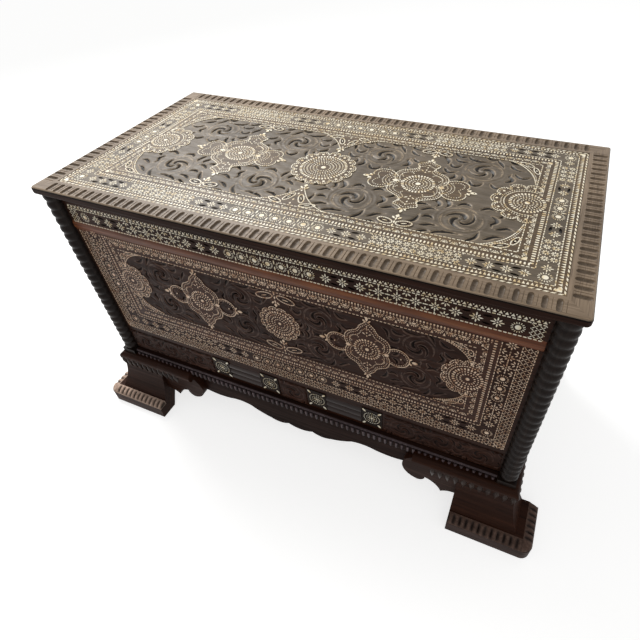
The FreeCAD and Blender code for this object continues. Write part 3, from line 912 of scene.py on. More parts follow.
def pointed_medallion(quarter, radius):
    """Wheel in three pointed outlines with curls between them."""
    wide, high = np.max(quarter, axis=0)

    def four_fold(shrink_x=0.0, shrink_y=0.0):
        right = np.array(quarter) * (1 - shrink_x / wide, 1 - shrink_y / high)
        upper = np.vstack([right, right[-2::-1] * (-1, 1)])
        return np.vstack([upper, -upper[1:-1]])

    bits = wheel(radius, 0.15 * radius)
    bits += trail(four_fold(1.4, 1.6), DASH_PITCH, small_dash, True)
    bits += trail(four_fold(6.4, 8.0), 5.2, small_dot, True)
    bits += trail(four_fold(12.5, 19.0), 4.4, small_dot, True)
    for sx, sy in CORNERS:
        bits += trail(np.array(CURL) * (sx * wide, sy * high), 4.0, small_dot)
        bits.append(lens(8.0, 2.6)(sx * 0.13 * wide, sy * 0.56 * high, sx * sy * 0.6))
        bits.append(lens(8.0, 3.8)(sx * 5.4, sy * (high - 0.5), UPRIGHT - sx * sy * 0.7))
    for side in SIDES:
        bits += [diamond(6.0, 3.4)(0, side * (0.5 + 0.105 * k) * high, UPRIGHT) for k in range(4)]
        bits.append(lens(12.0, 6.0)(0, side * (high + 5.5), UPRIGHT))
        bits.append(lens(12.5, 8.6)(side * (wide - 8.5), 0))
    return bits, [outline(four_fold())], []


def leafed_tip(side, at):
    """Three leaves at the outer end of an ear."""
    leaves = [lens(10.0, 4.6)(side * (at - 15.5), y * 6.2, side * y * 0.8) for y in SIDES]
    return [lens(14.0, 7.4)(side * (at - 6.5), 0)] + leaves


LID_EAR = ((48, 19), (60, 31), (73, 36), (86, 35), (96, 27), (99, 16), (97, 9), (104, 4), (112, 0))
LID_EAR_INNER = ((57, 19), (68, 27), (80, 28), (89, 21), (88, 10), (82, 0))
EAR_LEAF = ((0.1, 0.1), (0.36, 0.06), (0.58, 0.2), (0.5, 0.42), (0.26, 0.56), (0.3, 0.3))


def lid_ears(tip):
    """Ears of the lid's medallions: a lobed double outline and arcs that echo the body."""
    bits, grounds = [], []
    for side in SIDES:
        outer, inner = (np.array(half + tuple((x, -y) for x, y in half[-2::-1])) * (side, 1)
                        for half in (LID_EAR, LID_EAR_INNER))
        bits += double_line(outer, inner)
        grounds.append(outline(outer, False))
        for radius in (14.0, 21.0, 27.0):
            bits += trail(arc(side * 46, radius, 0.0 if side > 0 else math.pi, 0.9), DOT_PITCH, small_dot)
        bits += leafed_tip(side, tip)
    return bits, grounds, []


def front_ears(at, radius, tip):
    """Ears of a wall's medallions: a ring with leaves in it on either side."""
    open_turn = np.linspace(0.02, TURN - 0.02, 40)
    circle = np.column_stack([np.cos(open_turn), np.sin(open_turn)])
    bits, grounds = [], []
    for side in SIDES:
        middle = 0.0 if side > 0 else math.pi
        bits += trail(arc(side * at, radius, middle, 2.25), 3.6, small_dash)
        bits += trail(arc(side * at, radius - 4.4, middle, 2.1), DOT_PITCH, small_dot)
        bits.append(disc(1.8, 8)(side * (at + 0.3 * radius), 0))
        bits += leafed_tip(side, tip)
        for y in SIDES:
            grounds.append(outline((np.array(EAR_LEAF) * radius + (at, 0)) * (side, y)))
        grounds.append(np.vstack([(radius + 1.4) * circle, (radius - 7.0) * circle[::-1]]) + (side * at, 0))
    return bits, grounds, []


def end_medallion(radius, reach, petals):
    """Wheel with a ring and a row of petals on the side that faces the middle; drawn facing left."""
    middle = radius + 0.3 * (reach - radius)
    bulge = 0.36 * (reach - radius)
    bits = wheel(radius, 0.14 * radius)
    bits += double_line(*(arc(0, middle + out, math.pi, 1.85) for out in (-2.0, 3.2)))
    bits += double_line(*(scallop(reach - d, bulge, petals, 1.95, 8) for d in (1.5, 6.0)), edging)
    bits += rays(reach - bulge, math.pi + 1.95 * ((2 * np.arange(petals) + 1) / petals - 1), disc(2.6, 8))
    return bits, [disc(radius + 2.0, 40)(0, 0), scallop(reach, bulge, petals, 2.0, 8)], []


def with_loops(loops):
    """Oval loops of bits as one motif, each with a dark leaf in it, painted shade of a hollow, and a bone
    lens on the leaf as a painted glint.
    """
    bits, grounds, dark = [], [], []
    for x, y, half, thick, angle in loops:
        ring = np.array([polar(1, a) for a in turns(18)])
        bits += trail(turned(ring * (half, thick), x, y, angle), 4.0, small_dash, True)
        # a bone lens on the dark leaf: a painted glint
        bits.append(lens(0.8 * half, 0.3 * thick)(x, y, angle + 0.12))
        grounds.append(turned(ring * (half + 2.6, thick + 2.6), x, y, angle))
        # the dark leaf: a flat ebony sheet, painted shade of a hollow
        dark.append(lens(1.45 * half, 1.0 * thick)(x, y, angle + 0.12))
    return bits, grounds, dark


def pointed_tip(leaves, point):
    """Two leaves and a diamond at the lower end of a pendant."""
    bits = [lens(9.0, 4.2)(side * 6.0, leaves, UPRIGHT + side * 0.7) for side in SIDES]
    return bits + [diamond(12.0, 8.0)(0, point, UPRIGHT)]


def small_pendant(half, drop):
    """Bow of two loops at the field's edge with a pointed tip; drawn hanging from the origin."""
    bits, grounds, dark = with_loops(
        [(side * 0.49 * half, -0.5 * drop, 0.4 * half, 0.27 * drop, -side * 0.22) for side in SIDES])
    bits += [lens(0.3 * drop, 3.4)(0, y * drop, UPRIGHT) for y in (-0.14, -0.5, -0.86)]
    bits += pointed_tip(-0.98 * drop, -drop - 5.5)
    grounds.append(np.array([(-0.5 * half, 0), (0.5 * half, 0), (7, -drop), (0, -drop - 6), (-7, -drop)]))
    return bits, grounds, dark


def large_pendant(half, drop):
    """Two pairs of loops, one above the other, with a pointed tip; drawn hanging from the origin."""
    loops = []
    for side in SIDES:
        loops.append((side * 0.45 * half, -0.13 * drop, 0.2 * half, 0.085 * drop, -side * 0.3))
        loops.append((side * 0.17 * half, -0.4 * drop, 0.2 * half, 0.08 * drop, side * 1.15))
    bits, grounds, dark = with_loops(loops)
    curve = np.array([(1.0, 0), (0.78, -0.09), (0.52, -0.27), (0.29, -0.52), (0.11, -0.8), (0, -1.0)])
    curve = curve * (half, drop)
    for side in SIDES:
        bits += trail(curve * (side * 0.97, 0.97), DASH_PITCH, small_dash)
    bits += [diamond(7.0, 4.0)(0, -y * drop, UPRIGHT) for y in (0.1, 0.3, 0.62, 0.8)]
    bits += pointed_tip(-drop + 2, -drop - 6)
    grounds.append(outline(np.vstack([curve, curve[-2::-1] * (-1, 1)]), False))
    return bits, grounds, dark


def corner_cusp(wide, high):
    """Curved corner of the field with two loops; drawn for the lower right corner at the origin."""
    curve = np.array([(-1.06, 0), (-0.78, 0.12), (-0.52, 0.29), (-0.31, 0.5), (-0.15, 0.76), (-0.05, 1.05)])
    curve = curve * (wide, high)
    bits, grounds, dark = with_loops([(-0.5 * wide, 0.11 * high, 0.25 * wide, 0.075 * high, 0.32),
                                      (-0.14 * wide, 0.37 * high, 0.08 * wide, 0.17 * high, -0.35)])
    bits += double_line(curve, curve * 0.87)
    grounds.append(np.vstack([outline(curve, False), [(0, 1.05 * high), (0, 0), (-1.06 * wide, 0)]]))
    return bits, grounds, dark


# Carving

# Loose cuts of one scroll of foliage, about the scroll's centre
HOOKS = (
    ((-68, -14), (-62, -6), (-53, -7), (-47, -17)), ((-64, -40), (-51, -31), (-34, -33)),
    ((-38, -59), (-29, -48), (-10, -44), (10, -47)), ((20, -58), (32, -43), (37, -26)),
    ((48, 27), (58, 15), (52, 5), (57, -7)), ((-44, 56), (-35, 42), (-39, 27)),
    ((-16, 43), (-8, 55), (3, 53), (8, 42)), ((-76, 8), (-64, 20), (-48, 16)),
    ((26, 43), (39, 54), (54, 45)), ((50, -45), (63, -32), (80, -28)),
    ((64, -11), (79, 0), (94, -7)), ((-90, -36), (-80, -23), (-76, -6)),
    ((-95, 25), (-81, 32), (-65, 27)), ((62, 28), (75, 39), (89, 29)),
    ((-70, -63), (-54, -52), (-42, -55)), ((46, -64), (60, -56), (73, -59)),
    ((-62, 48), (-52, 37), (-55, 26)), ((-4, -66), (10, -60), (23, -67)),
)
HOOK_WIDTH = 11.0
HOOK_STRETCH = 1.22
HOOK_DEEP = 4.2
LIT_FROM = (-0.45, 0.9)

# Three-fold whirl of a scroll: near and far end from the centre, start, sweep, width and depth of each leaf
WHIRL = ((4, 26, 0.5, 2.3, 10.5, 5.0), (18, 31, 1.6, 1.6, -7.0, 4.0), (36, 39, 0.8, 1.8, 3.4, 1.9))


def inside(shape, u, v):
    """Which grid points lie inside a flat outline."""
    x, y = np.asarray(shape, float).T
    found = np.zeros(u.shape, bool)
    for x0, y0, x1, y1 in zip(x, y, np.roll(x, -1), np.roll(y, -1)):
        if y0 != y1:
            crosses = (y0 > v) != (y1 > v)
            found ^= crosses & (u < (x1 - x0) * (v - y0) / (y1 - y0) + x0)
    return found


def leaf_cut(u, v, line, width, deep):
    """Depth of a leaf-shaped cut along a line: sheer on one side, sloping over the width on the other."""
    nearest = np.full(u.shape, 1e9)
    offset = np.zeros(u.shape)
    share = np.zeros(u.shape)
    last = len(line) - 1
    for k in range(last):
        (x, y), (dx, dy) = line[k], line[k + 1] - line[k]
        t = np.clip(((u - x) * dx + (v - y) * dy) / (dx * dx + dy * dy), 0, 1)
        du, dv = u - x - t * dx, v - y - t * dy
        far = np.hypot(du, dv)
        closer = far < nearest
        nearest[closer] = far[closer]
        offset[closer] = (far * np.sign(dy * du - dx * dv))[closer]
        share[closer] = ((k + t) / last)[closer]
    taper = np.sin(np.pi * share ** 0.75) ** 0.8
    across = offset * np.sign(width)
    slope = np.clip(1 - across / np.maximum(abs(width) * taper, 1e-6), 0, 1) ** 1.6
    wall = np.clip(1 + across / 1.3, 0, 1)
    return deep * taper * np.where(across >= 0, slope, wall)


def cut_into(us, vs, cuts, line, width, deep):
    """Cut one leaf into a grid of depths."""
    margin = abs(width) + 2
    low, high = line.min(axis=0) - margin, line.max(axis=0) + margin
    i0, i1 = np.searchsorted(us, (low[0], high[0]))
    j0, j1 = np.searchsorted(vs, (low[1], high[1]))
    if i0 < i1 and j0 < j1:
        u, v = np.meshgrid(us[i0:i1], vs[j0:j1])
        part = cuts[j0:j1, i0:i1]
        np.maximum(part, leaf_cut(u, v, line, width, deep), out=part)


def scroll(us, vs, cuts, x, y, scale, flip_x, flip_y):
    """Cut one scroll of foliage into a grid of depths; hooks slope on the side away from the light."""
    flips = np.array([flip_x * scale, flip_y * scale])
    deepness = 0.4 + 0.6 * scale
    t = np.linspace(0, 1, 10)
    for turn in turns(3):
        for near, far, start, sweep, width, deep in WHIRL:
            r, a = near + (far - near) * t, start + turn + sweep * t
            line = np.column_stack([r * np.cos(a), r * np.sin(a)]) * flips + (x, y)
            cut_into(us, vs, cuts, line, width * scale * flip_x * flip_y, deep * deepness)
    for hook in HOOKS:
        middle = np.mean(hook, axis=0)
        line = smooth((middle + HOOK_STRETCH * (hook - middle)) * flips + (x, y), 4.0 * scale)[0]
        run = line[-1] - line[0]
        side = -1.0 if run[1] * LIT_FROM[0] - run[0] * LIT_FROM[1] > 0 else 1.0
        cut_into(us, vs, cuts, line, side * HOOK_WIDTH * scale, HOOK_DEEP * deepness)


def swelling(u, v, x, y, scale, flip_x, flip_y):
    """Rounded leaves of one scroll: three swollen arms in the whirl and a rolled ring round it."""
    du, dv = (u - x) / (flip_x * scale), (v - y) / (flip_y * scale)
    r, turn = np.hypot(du, dv), np.arctan2(dv, du)
    arms = -np.cos(3 * (turn - 0.5 - 2.3 * (r - 4) / 21)) * np.exp(-(r / 32) ** 4)
    ring = np.cos(TURN * (r - 38) / 10) * np.exp(-((r - 39) / 11) ** 2)
    return scale * (0.85 * arms + 0.5 * ring)


def foliage(us, vs, scrolls):
    """Depth of the cuts and height of the relief between them, over a grid."""
    u, v = np.meshgrid(us, vs)
    cuts = np.zeros(u.shape)
    waves = np.sin(0.16 * (u + 0.6 * v) + 1.3 * np.sin(0.05 * v))
    relief = 0.45 * waves * np.sin(0.14 * (v - 0.5 * u) + np.sin(0.06 * u))
    for place in scrolls:
        scroll(us, vs, cuts, *place)
        relief += swelling(u, v, *place)
    return cuts, np.clip(relief, -0.9, 0.8)


def four_scrolls(places, mid, rise, scale):
    """Scrolls at places to the left and the right, above and below a middle line."""
    return [(sx * x, mid + sy * rise, scale, sx, -sy) for sx, sy in CORNERS for x in places]


def scroll_row(start, end, middle, side=1):
    """Scrolls along a rail, every second one turned over."""
    return [(side * u, middle, RAIL_SCROLL, side, 1 if k % 2 else -1)
            for k, u in enumerate(spots(start, end, RAIL_SCROLL_PITCH))]


def grid_line(start, end, step):
    """Places along one side of a carved grid."""
    return np.linspace(start, end, round((end - start) / step) + 1)


def edges_of(values):
    """A mask of the outer rows and columns of a grid."""
    mask = np.ones(values.shape, bool)
    mask[1:-1, 1:-1] = False
    return mask


def dress_field(name, sheet, half, low, high, step, scrolls, motif, hollows, board, veneer, inlay):
    """A board with hollows in its rows, and in its pocket a field of foliage between inlaid motifs."""
    bits, grounds, dark = motif
    pocket = [(-half, low), (half, low), (half, high), (-half, high)]
    cuts = joined([prisms([pocket], -FIELD_POCKET, CUT_OVER), prisms(hollows, -HOLLOW_DEEP, CUT_OVER)])
    cut_piece(name + "_panel_frame", name + "_panel", sheet, cuts, board, HOLLOW_DEEP + 0.1)
    us, vs = grid_line(-half, half, step), grid_line(low, high, step)
    cuts, relief = foliage(us, vs, scrolls)
    flat = edges_of(cuts)
    for shape in grounds:
        flat |= inside(shape, *np.meshgrid(us, vs))
    heights = np.where(flat, 0.0, relief - GROUND_DROP - cuts)
    depth = np.where(flat, 0.0, cuts / HOOK_DEEP)
    field = block(name + "_field_carving", sheet, us, vs, heights, depth, -FIELD_POCKET, board)
    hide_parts(name + "_panel")
    inlay_piece(name + "_inlay_field", sheet, bits, inlay)
    inlay_piece(name + "_veneer_field", sheet, grounds, veneer, VENEER_PROUD)
    # the dark leaves: ebony sheets as painted shade of leaf hollows
    inlay_piece(name + "_painted_shade_leaves", sheet, dark, ebony, SHADE_LEAF_PROUD)


# Lid

# Name, half length, distance from the middle and main band of each side, going round from the front
LID_EDGES = (
    ("front", LID_HALF_W, LID_HALF_D, LID_LONG), ("right", LID_HALF_D, LID_HALF_W, LID_SHORT),
    ("back", LID_HALF_W, LID_HALF_D, LID_LONG), ("left", LID_HALF_D, LID_HALF_W, LID_SHORT),
)


def lid_sides(make):
    """Outlines round the lid; make gives a side's, s along and t inwards, from its half length and band."""
    shapes = []
    for number, (name, half, out, layout) in enumerate(LID_EDGES):
        shapes += moved([np.asarray(s) - (0, out) for s in make(half, layout)], 0, 0, number * UPRIGHT)
    return shapes


def lid_rows(half, layout):
    """Inlay rows along one side of the lid."""
    comb = half - LID_COMB
    teeth, fans = half - LID_TEETH - LID_ROW_SPACE, half - LID_FANS - LID_ROW_SPACE
    shapes = row(LID_ROPE - half, half - LID_ROPE, LID_ROPE_PITCH, LID_ROPE, rope_bit(7.6, 2.7))
    shapes += row(-teeth, teeth, LID_TEETH_PITCH, LID_TEETH, triangle(5.0, 6.6))
    for inset in (LID_LINE_OUT, LID_LINE_IN, LID_FIELD):
        shapes += row(inset - half, half - inset, LINE_PITCH, inset, dash(LINE_DASH, 1.7))
    shapes += row(-comb, comb, LID_COMB_PITCH, LID_COMB - 3.4, tooth(3.0, 6.8))
    shapes += fan_row(-fans, fans, LID_FANS, pitch=17.0, size=7.0)
    return shapes + band(layout, LID_BAND, LID_FLOWER, star_grid, GRID_CELL)


def lid_corners():
    """Disc and quarter-round pieces in the lid's corners."""
    shapes = []
    for sx, sy in CORNERS:
        shapes += moved(ringed_disc(CORNER_DISC), sx * (LID_HALF_W - LID_BAND), sy * (LID_HALF_D - LID_BAND))
        for inset, size in ((LID_TEETH - 1.0, 10.0), (LID_FANS - 2.0, 9.0)):
            quarter = [(0, 0)] + [polar(-size, a) for a in np.linspace(0, UPRIGHT, 6)]
            shapes.append((np.array(quarter) + (LID_HALF_W - inset, LID_HALF_D - inset)) * (sx, sy))
    return shapes


def lid_plates():
    """Mitred strips of ground under the lid's outer and inner rows."""
    def strips(half, layout):
        return [[(outer - half, outer), (half - outer, outer), (half - inner, inner), (inner - half, inner)]
                for outer, inner in ((LID_LINE_IN, LID_FIELD), (LID_ROPE - 2.5, LID_LINE_OUT))]

    return lid_sides(strips)


def lid_motifs():
    """Motifs of the lid's field."""
    motifs = [round_medallion(radius=71.0, petals=14)]
    motifs += hung(large_pendant(half=78.0, drop=70.0), 0, LID_FIELD_D, 0)
    motifs += in_corners(corner_cusp(wide=60.0, high=78.0), LID_FIELD_W, LID_FIELD_D, 0)
    for side in SIDES:
        x = side * LID_MEDALLION_X
        motifs.append(placed(pointed_medallion(LID_BODY, radius=34.0), x, 0))
        motifs.append(placed(lid_ears(tip=117.0), x, 0))
        end = end_medallion(radius=34.0, reach=68.0, petals=7)
        motifs.append(placed(end, side * LID_WHEEL_X, 0, flip=side < 0))
        motifs += hung(small_pendant(half=37.0, drop=29.0), x, LID_FIELD_D, 0)
    return together(motifs)


def flute_cutter(half, deep):
    """One scooped flute with round ends, about its own middle."""
    rings = []
    for x in -np.cos(np.pi * (np.arange(11) + 0.5) / 11):
        size = (1 - x ** 6) ** 0.5
        t = FLUTE_FROM + (FLUTE_TO - FLUTE_FROM) * (x + 1) / 2
        scoop = [(-half * math.cos(a) * size, t, 0.02 - deep * size * math.sin(a) ** 0.8)
                 for a in np.linspace(0, math.pi, 10)]
        rings.append([(-half * size, t, CUT_OVER), *scoop, (half * size, t, CUT_OVER)])
    return loft(rings)


def flute_border(number, name, half, out):
    """Cut flutes and the fine grooves between them into one border strip; its top and the upper part of its
    edge keep the pale rim wood, a painted sheen, and its outer side below that is dark.
    """
    reach = half - FLUTE_TO - FLUTE_SPACE
    skins = []
    kinds = ((FLUTE_HALF, FLUTE_DEEP, 0.0), (GROOVE_HALF, GROOVE_DEEP, FLUTE_PITCH / 2))
    for wide, deep, shift in kinds:
        points, faces = flute_cutter(wide, deep)
        skins += [(points + (s + shift, -out, 0), faces) for s in spots(-reach, reach, FLUTE_PITCH)]
    points, faces = joined(skins)
    points[:, :2] = turned(points[:, :2], 0, 0, number * UPRIGHT)
    top, side = (rim_sheen_y, dark_y) if number % 2 else (rim_sheen_x, dark_x)
    strip = "lid_border_" + name
    piece = cut_piece(strip + "_fluted", strip, RIM_SHEET, (points, faces), top, FLUTE_DEEP)
    piece.data.materials.append(side)
    for face in piece.data.polygons:
        u, v, h = np.array(face.center) / MM - RIM_SHEET.origin
        if h < -RIM_SHEEN_DEPTH and (LID_HALF_W - abs(u) < RIM_SHEEN_DEPTH or LID_HALF_D - abs(v) < RIM_SHEEN_DEPTH):
            face.material_index = 1


def dress_lid():
    """Fluted border, carved field and inlay of the lid."""
    for number, (name, half, out, layout) in enumerate(LID_EDGES):
        flute_border(number, name, half, out)
    hollows = lid_sides(lambda half, layout: band_hollows(layout, LID_BAND))
    scrolls = four_scrolls(LID_SCROLLS, 0, LID_SCROLL_RISE, 1.0)
    dress_field("lid", LID_SHEET, LID_FIELD_W, -LID_FIELD_D, LID_FIELD_D, LID_GRID, scrolls, lid_motifs(),
                hollows, lid_sheen_x, veneer_lid_painted_sheen, cream)
    rows = clear_of(lid_sides(lid_rows), LID_WHEEL_X, 0, LID_WHEEL_CLEAR)
    inlay_piece("lid_inlay_border", LID_SHEET, rows + lid_corners(), cream)
    inlay_piece("lid_veneer_border", LID_SHEET, lid_plates(), veneer_lid_painted_sheen, VENEER_PROUD / 2)


# Front and sides

def top_rows(field):
    """Inlay rows along the top of a wall's panel."""
    comb, fans = field + PANEL_COMB_PAST, field + PANEL_FANS_PAST
    shapes = row(-comb, comb, COMB_PITCH, PANEL_COMB - 1.8, tooth(3.0, 4.6))
    shapes += row(-comb, comb, COMB_PITCH, PANEL_FINE_LINE, disc(1.1))
    hanging = fan_row(-fans, fans, 0, pitch=22.0, size=9.6)
    return shapes + [shape * (1, -1) + (0, PANEL_FANS) for shape in hanging]


def frieze_rows(half, layout):
    """Inlay rows of a wall's frieze."""
    shapes = row(-half, half, TRIANGLE_PITCH, FRIEZE_TEETH - 3.0, triangle(6.4, 5.6))
    shift = TRIANGLE_PITCH / 2
    shapes += row(shift - half, half + shift, TRIANGLE_PITCH, FRIEZE_TEETH + 2.0, disc(1.1))
    for t in (FRIEZE_LINE_UP, FRIEZE_LINE_LOW - 3.0):
        shapes += row(-half, half, LINE_PITCH, t, dash(LINE_DASH, 2.0))
    shapes += band(layout, FRIEZE_BAND, WALL_FLOWER, star_row, STAR_CELL)
    for side in SIDES:
        low, high = sorted((side * (half - ROW_LINE_OUT + 1.5), side * (half - 0.5)))
        shapes += lattice(low, high, FRIEZE_LINE_LOW - 1.0, FRIEZE_LINE_UP - 2.0, FRIEZE_CELL)
    return shapes


def frame_side(low, high, layout, both):
    """Rows along one side of a frame, s along and t inwards, mitred at the start or at both ends."""
    shapes = lattice(low + 2, high, 2.0, ROW_LINE_OUT - 2.0, FRAME_CELL)
    for inset in (ROW_EDGE, ROW_LINE_OUT, ROW_LINE_IN, ROW_FIELD):
        end = high - (inset if both else max(0.0, inset - ROW_LINE_IN))
        shapes += row(low + inset, end, LINE_PITCH, inset, dash(LINE_DASH, 1.8))
    shapes += row(low + ROW_COMB, high - both * ROW_COMB, COMB_PITCH, ROW_COMB - 3.0, tooth(2.9, 6.2))
    mitre = ROW_FANS + ROW_SPACE
    end = high - (mitre if both else ROW_SPACE_TOP)
    shapes += fan_row(low + mitre, end, ROW_FANS, pitch=20.0, size=8.0)
    return shapes + band(layout, ROW_BAND, WALL_FLOWER, star_row, STAR_CELL)


def wall_rows(half, layout):
    """Inlay rows round a wall's field: a line along the top, the frame's rows on the other sides."""
    field = half - ROW_FIELD
    shapes = row(-field, field, LINE_PITCH, FIELD_TOP, dash(LINE_DASH, 1.8))
    for shape in frame_side(FRAME_LOW - FIELD_MID, PANEL_COMB + 4.0 - FIELD_MID, UPRIGHT_BAND, False):
        upright = np.column_stack([half - shape[:, 1], FIELD_MID + shape[:, 0]])
        shapes += [upright * (side, 1) for side in SIDES]
    for side in SIDES:
        shapes += moved(ringed_disc(CORNER_DISC), side * (half - ROW_BAND), FRAME_LOW + ROW_BAND)
    return shapes + moved(frame_side(-half, half, layout, True), 0, FRAME_LOW)


def wall_plates(half):
    """Lighter ground under the inner rows of a wall's frame."""
    outer, inner = half - ROW_LINE_IN, half - ROW_FIELD
    top, low, low_in = PANEL_COMB + 4.5, FRAME_LOW + ROW_LINE_IN, FRAME_LOW + ROW_FIELD
    plates = [[(side * outer, top), (side * outer, low), (side * inner, low_in), (side * inner, FIELD_TOP)]
              for side in SIDES]
    plates.append([(outer, top), (-outer, top), (-inner, FIELD_TOP), (inner, FIELD_TOP)])
    plates.append([(-outer, low), (outer, low), (inner, low_in), (-inner, low_in)])
    return plates


def front_motifs():
    """Motifs of the front's field."""
    motifs = [placed(round_medallion(radius=49.0, petals=12), 0, FIELD_MID)]
    motifs += hung(small_pendant(half=50.0, drop=30.0), 0, FIELD_HALF_H, FIELD_MID)
    field = FRAME_HALF - ROW_FIELD
    motifs += in_corners(corner_cusp(wide=58.0, high=46.0), field, FIELD_HALF_H, FIELD_MID)
    for side in SIDES:
        x = side * FRONT_MEDALLION_X
        motifs.append(placed(pointed_medallion(FRONT_BODY, radius=29.0), x, FIELD_MID))
        motifs.append(placed(front_ears(at=63.0, radius=25.0, tip=105.0), x, FIELD_MID))
        end = end_medallion(radius=30.0, reach=53.0, petals=6)
        motifs.append(placed(end, side * FRONT_WHEEL_X, FIELD_MID, flip=side < 0))
    return together(motifs)


def side_motifs():
    """Motifs of a side wall's field: one pointed medallion and two half wheels."""
    field = SIDE_FRAME_HALF - ROW_FIELD
    body = np.array(FRONT_BODY) * (0.88, 0.92)
    motifs = [placed(pointed_medallion(body, radius=26.0), 0, FIELD_MID)]
    motifs.append(placed(front_ears(at=54.0, radius=20.0, tip=90.0), 0, FIELD_MID))
    motifs += in_corners(corner_cusp(wide=46.0, high=40.0), field, FIELD_HALF_H, FIELD_MID)
    for side in SIDES:
        end = end_medallion(radius=22.0, reach=40.0, petals=5)
        motifs.append(placed(end, side * SIDE_WHEEL_X, FIELD_MID, flip=side < 0))
    return together(motifs)


def dress_wall(name, sheet, half, layout, motif, wheel_x, wheel_r, scrolls, step, board, veneer):
    """Frieze, carved field, veneer and inlay of one wall; the frame's rows stop at the end wheels."""
    low_layout = layout._replace(discs=layout.discs[:-1])
    field = half - ROW_FIELD
    bits, grounds, dark = motif
    hollows = moved(band_hollows(low_layout, ROW_BAND), 0, FRAME_LOW)
    dress_field(name, sheet, field, FIELD_LOW, FIELD_TOP, step, scrolls, (slim(bits, 0.92), grounds, dark),
                hollows, board, veneer, bone_warm)
    cuts = prisms(band_hollows(layout, FRIEZE_BAND), -HOLLOW_DEEP, CUT_OVER)
    cut_piece(name + "_frieze_cut", name + "_frieze_rail", sheet, cuts, board, HOLLOW_DEEP + 0.1)
    rows = clear_of(slim(wall_rows(half, low_layout), 0.88), wheel_x, FIELD_MID, wheel_r)
    inlay_piece(name + "_inlay_top", sheet, frieze_rows(half, layout), cream)
    inlay_piece(name + "_inlay_rows", sheet, rows + top_rows(field), bone_warm)
    inlay_piece(name + "_veneer_frame", sheet, wall_plates(half), veneer, VENEER_PROUD / 2)


def dress_walls():
    """Front wall, then both side walls."""
    scrolls = four_scrolls(FRONT_SCROLLS, FIELD_MID, FRONT_SCROLL_RISE, FRONT_SCROLL)
    dress_wall("front", front_sheet(span("front_panel")[0][1]), FRAME_HALF, FRONT_FRIEZE, front_motifs(),
               FRONT_WHEEL_X, FRONT_WHEEL_CLEAR, scrolls, FRONT_GRID, panel_x, veneer_front)
    scrolls = four_scrolls(SIDE_SCROLLS, FIELD_MID, SIDE_SCROLL_RISE, SIDE_SCROLL)
    for name, side in NAMED_SIDES[::-1]:
        dress_wall(name, side_sheet(name + "_panel", side), SIDE_FRAME_HALF, SIDE_FRIEZE, side_motifs(),
                   SIDE_WHEEL_X, SIDE_WHEEL_CLEAR, scrolls, SIDE_GRID, panel_y, veneer_side)


# Lower rail and base

def half_round(v_mid, half, low, high, u0, u1, depth):
    """A bar with a half-round face, along u."""
    return loft([[(u, v_mid + half * math.cos(a), low + (high - low) * math.sin(a), depth)
                  for a in np.linspace(0, math.pi, 10)] for u in (u0, u1)])


def rosette():
    """Inlay of one rail tile: a small flower in two thin rings, with a leaf in each corner."""
    shapes = [disc(2.6, 10)(0, 0)] + rays(6.6, turns(8), lens(5.6, 1.9))
    shapes += ring_of(12.6, 4.8, disc(1.0)) + ring_of(19.2, 4.8, disc(1.25))
    return shapes + [lens(12.5, 5.4)(sx * 19.0, sy * 24.5, sx * sy * 0.85) for sx, sy in CORNERS]


def carved_strip(name, sheet, ends, rise, scrolls, material):
    """A carved board laid on a plain one, between two ends and two heights."""
    us, vs = grid_line(*ends, SIDE_GRID), grid_line(*rise, SIDE_GRID)
    cuts, relief = foliage(us, vs, scrolls)
    heights = np.maximum(CARVED_PROUD + relief - cuts, 0.15)
    heights[edges_of(heights)] = 0.4 * CARVED_PROUD
    block(name, sheet, us, vs, heights, cuts / HOOK_DEEP, -INLAY_SUNK, material)


def rail_tiles(sheet, tile_face):
    """Inlaid tiles of the front's lower rail."""
    tiles = [dash(*RAIL_TILE_SIZE)(u, RAIL_TILE_RISE) for u in RAIL_TILES]
    new_piece("rail_tiles", sheet, prisms(tiles, -INLAY_SUNK, RAIL_TILE_PROUD), ebony)
    rosettes = [moved(rosette(), u, RAIL_TILE_RISE) for u in RAIL_TILES]
    inlay_piece("rail_inlay", tile_face, sum(rosettes, []), cream)


def rail_reeds(sheet, middle):
    """Three reeds in each reeded field of the front's lower rail."""
    wide, tall = REED_FIELD_SIZE
    reach, half = wide / 2 - REED_END, tall / 6 - REED_GAP
    bars = []
    for u in REED_FIELDS:
        for v in (middle - tall / 3, middle, middle + tall / 3):
            bars.append(half_round(v, half, -REED_FIELD_DEEP, REED_PROUD, u - reach, u + reach, 0.0))
    new_piece("rail_reeds", sheet, joined(bars), reed, CRISP)


def dress_rails():
    """Tiles, reeds and foliage of the lower rails."""
    low, high = span("front_lower_rail")
    rise = (low[2] - TOP_Z + RAIL_MARGIN, high[2] - TOP_Z - RAIL_MARGIN)
    middle = sum(rise) / 2
    sheet = front_sheet(low[1])
    rail_tiles(sheet, front_sheet(low[1] - RAIL_TILE_PROUD))
    rail_reeds(sheet, middle)
    half_tile = RAIL_TILE_SIZE[0] / 2
    inner, edge = RAIL_TILES[-1] + half_tile + RAIL_TILE_SPACE, high[0] - RAIL_MARGIN
    for name, side in NAMED_SIDES:
        ends = sorted((side * inner, side * edge))
        scrolls = scroll_row(inner, edge, middle, side)
        carved_strip("rail_carving_" + name, sheet, ends, rise, scrolls, rail_x)
    half = RAIL_TILES[2] - half_tile - RAIL_MARGIN
    single = [(0, middle, RAIL_SCROLL, 1, 1)]
    carved_strip("rail_carving_middle", sheet, (-half, half), rise, single, rail_x)
    for name, side in NAMED_SIDES:
        rail = name + "_lower_rail"
        half = np.ptp(span(rail)[:, 1]) / 2 - RAIL_MARGIN
        scrolls = scroll_row(-half, half, middle)
        carved_strip(name + "_rail_carving", side_sheet(rail, side), (-half, half), rise, scrolls, rail_y)


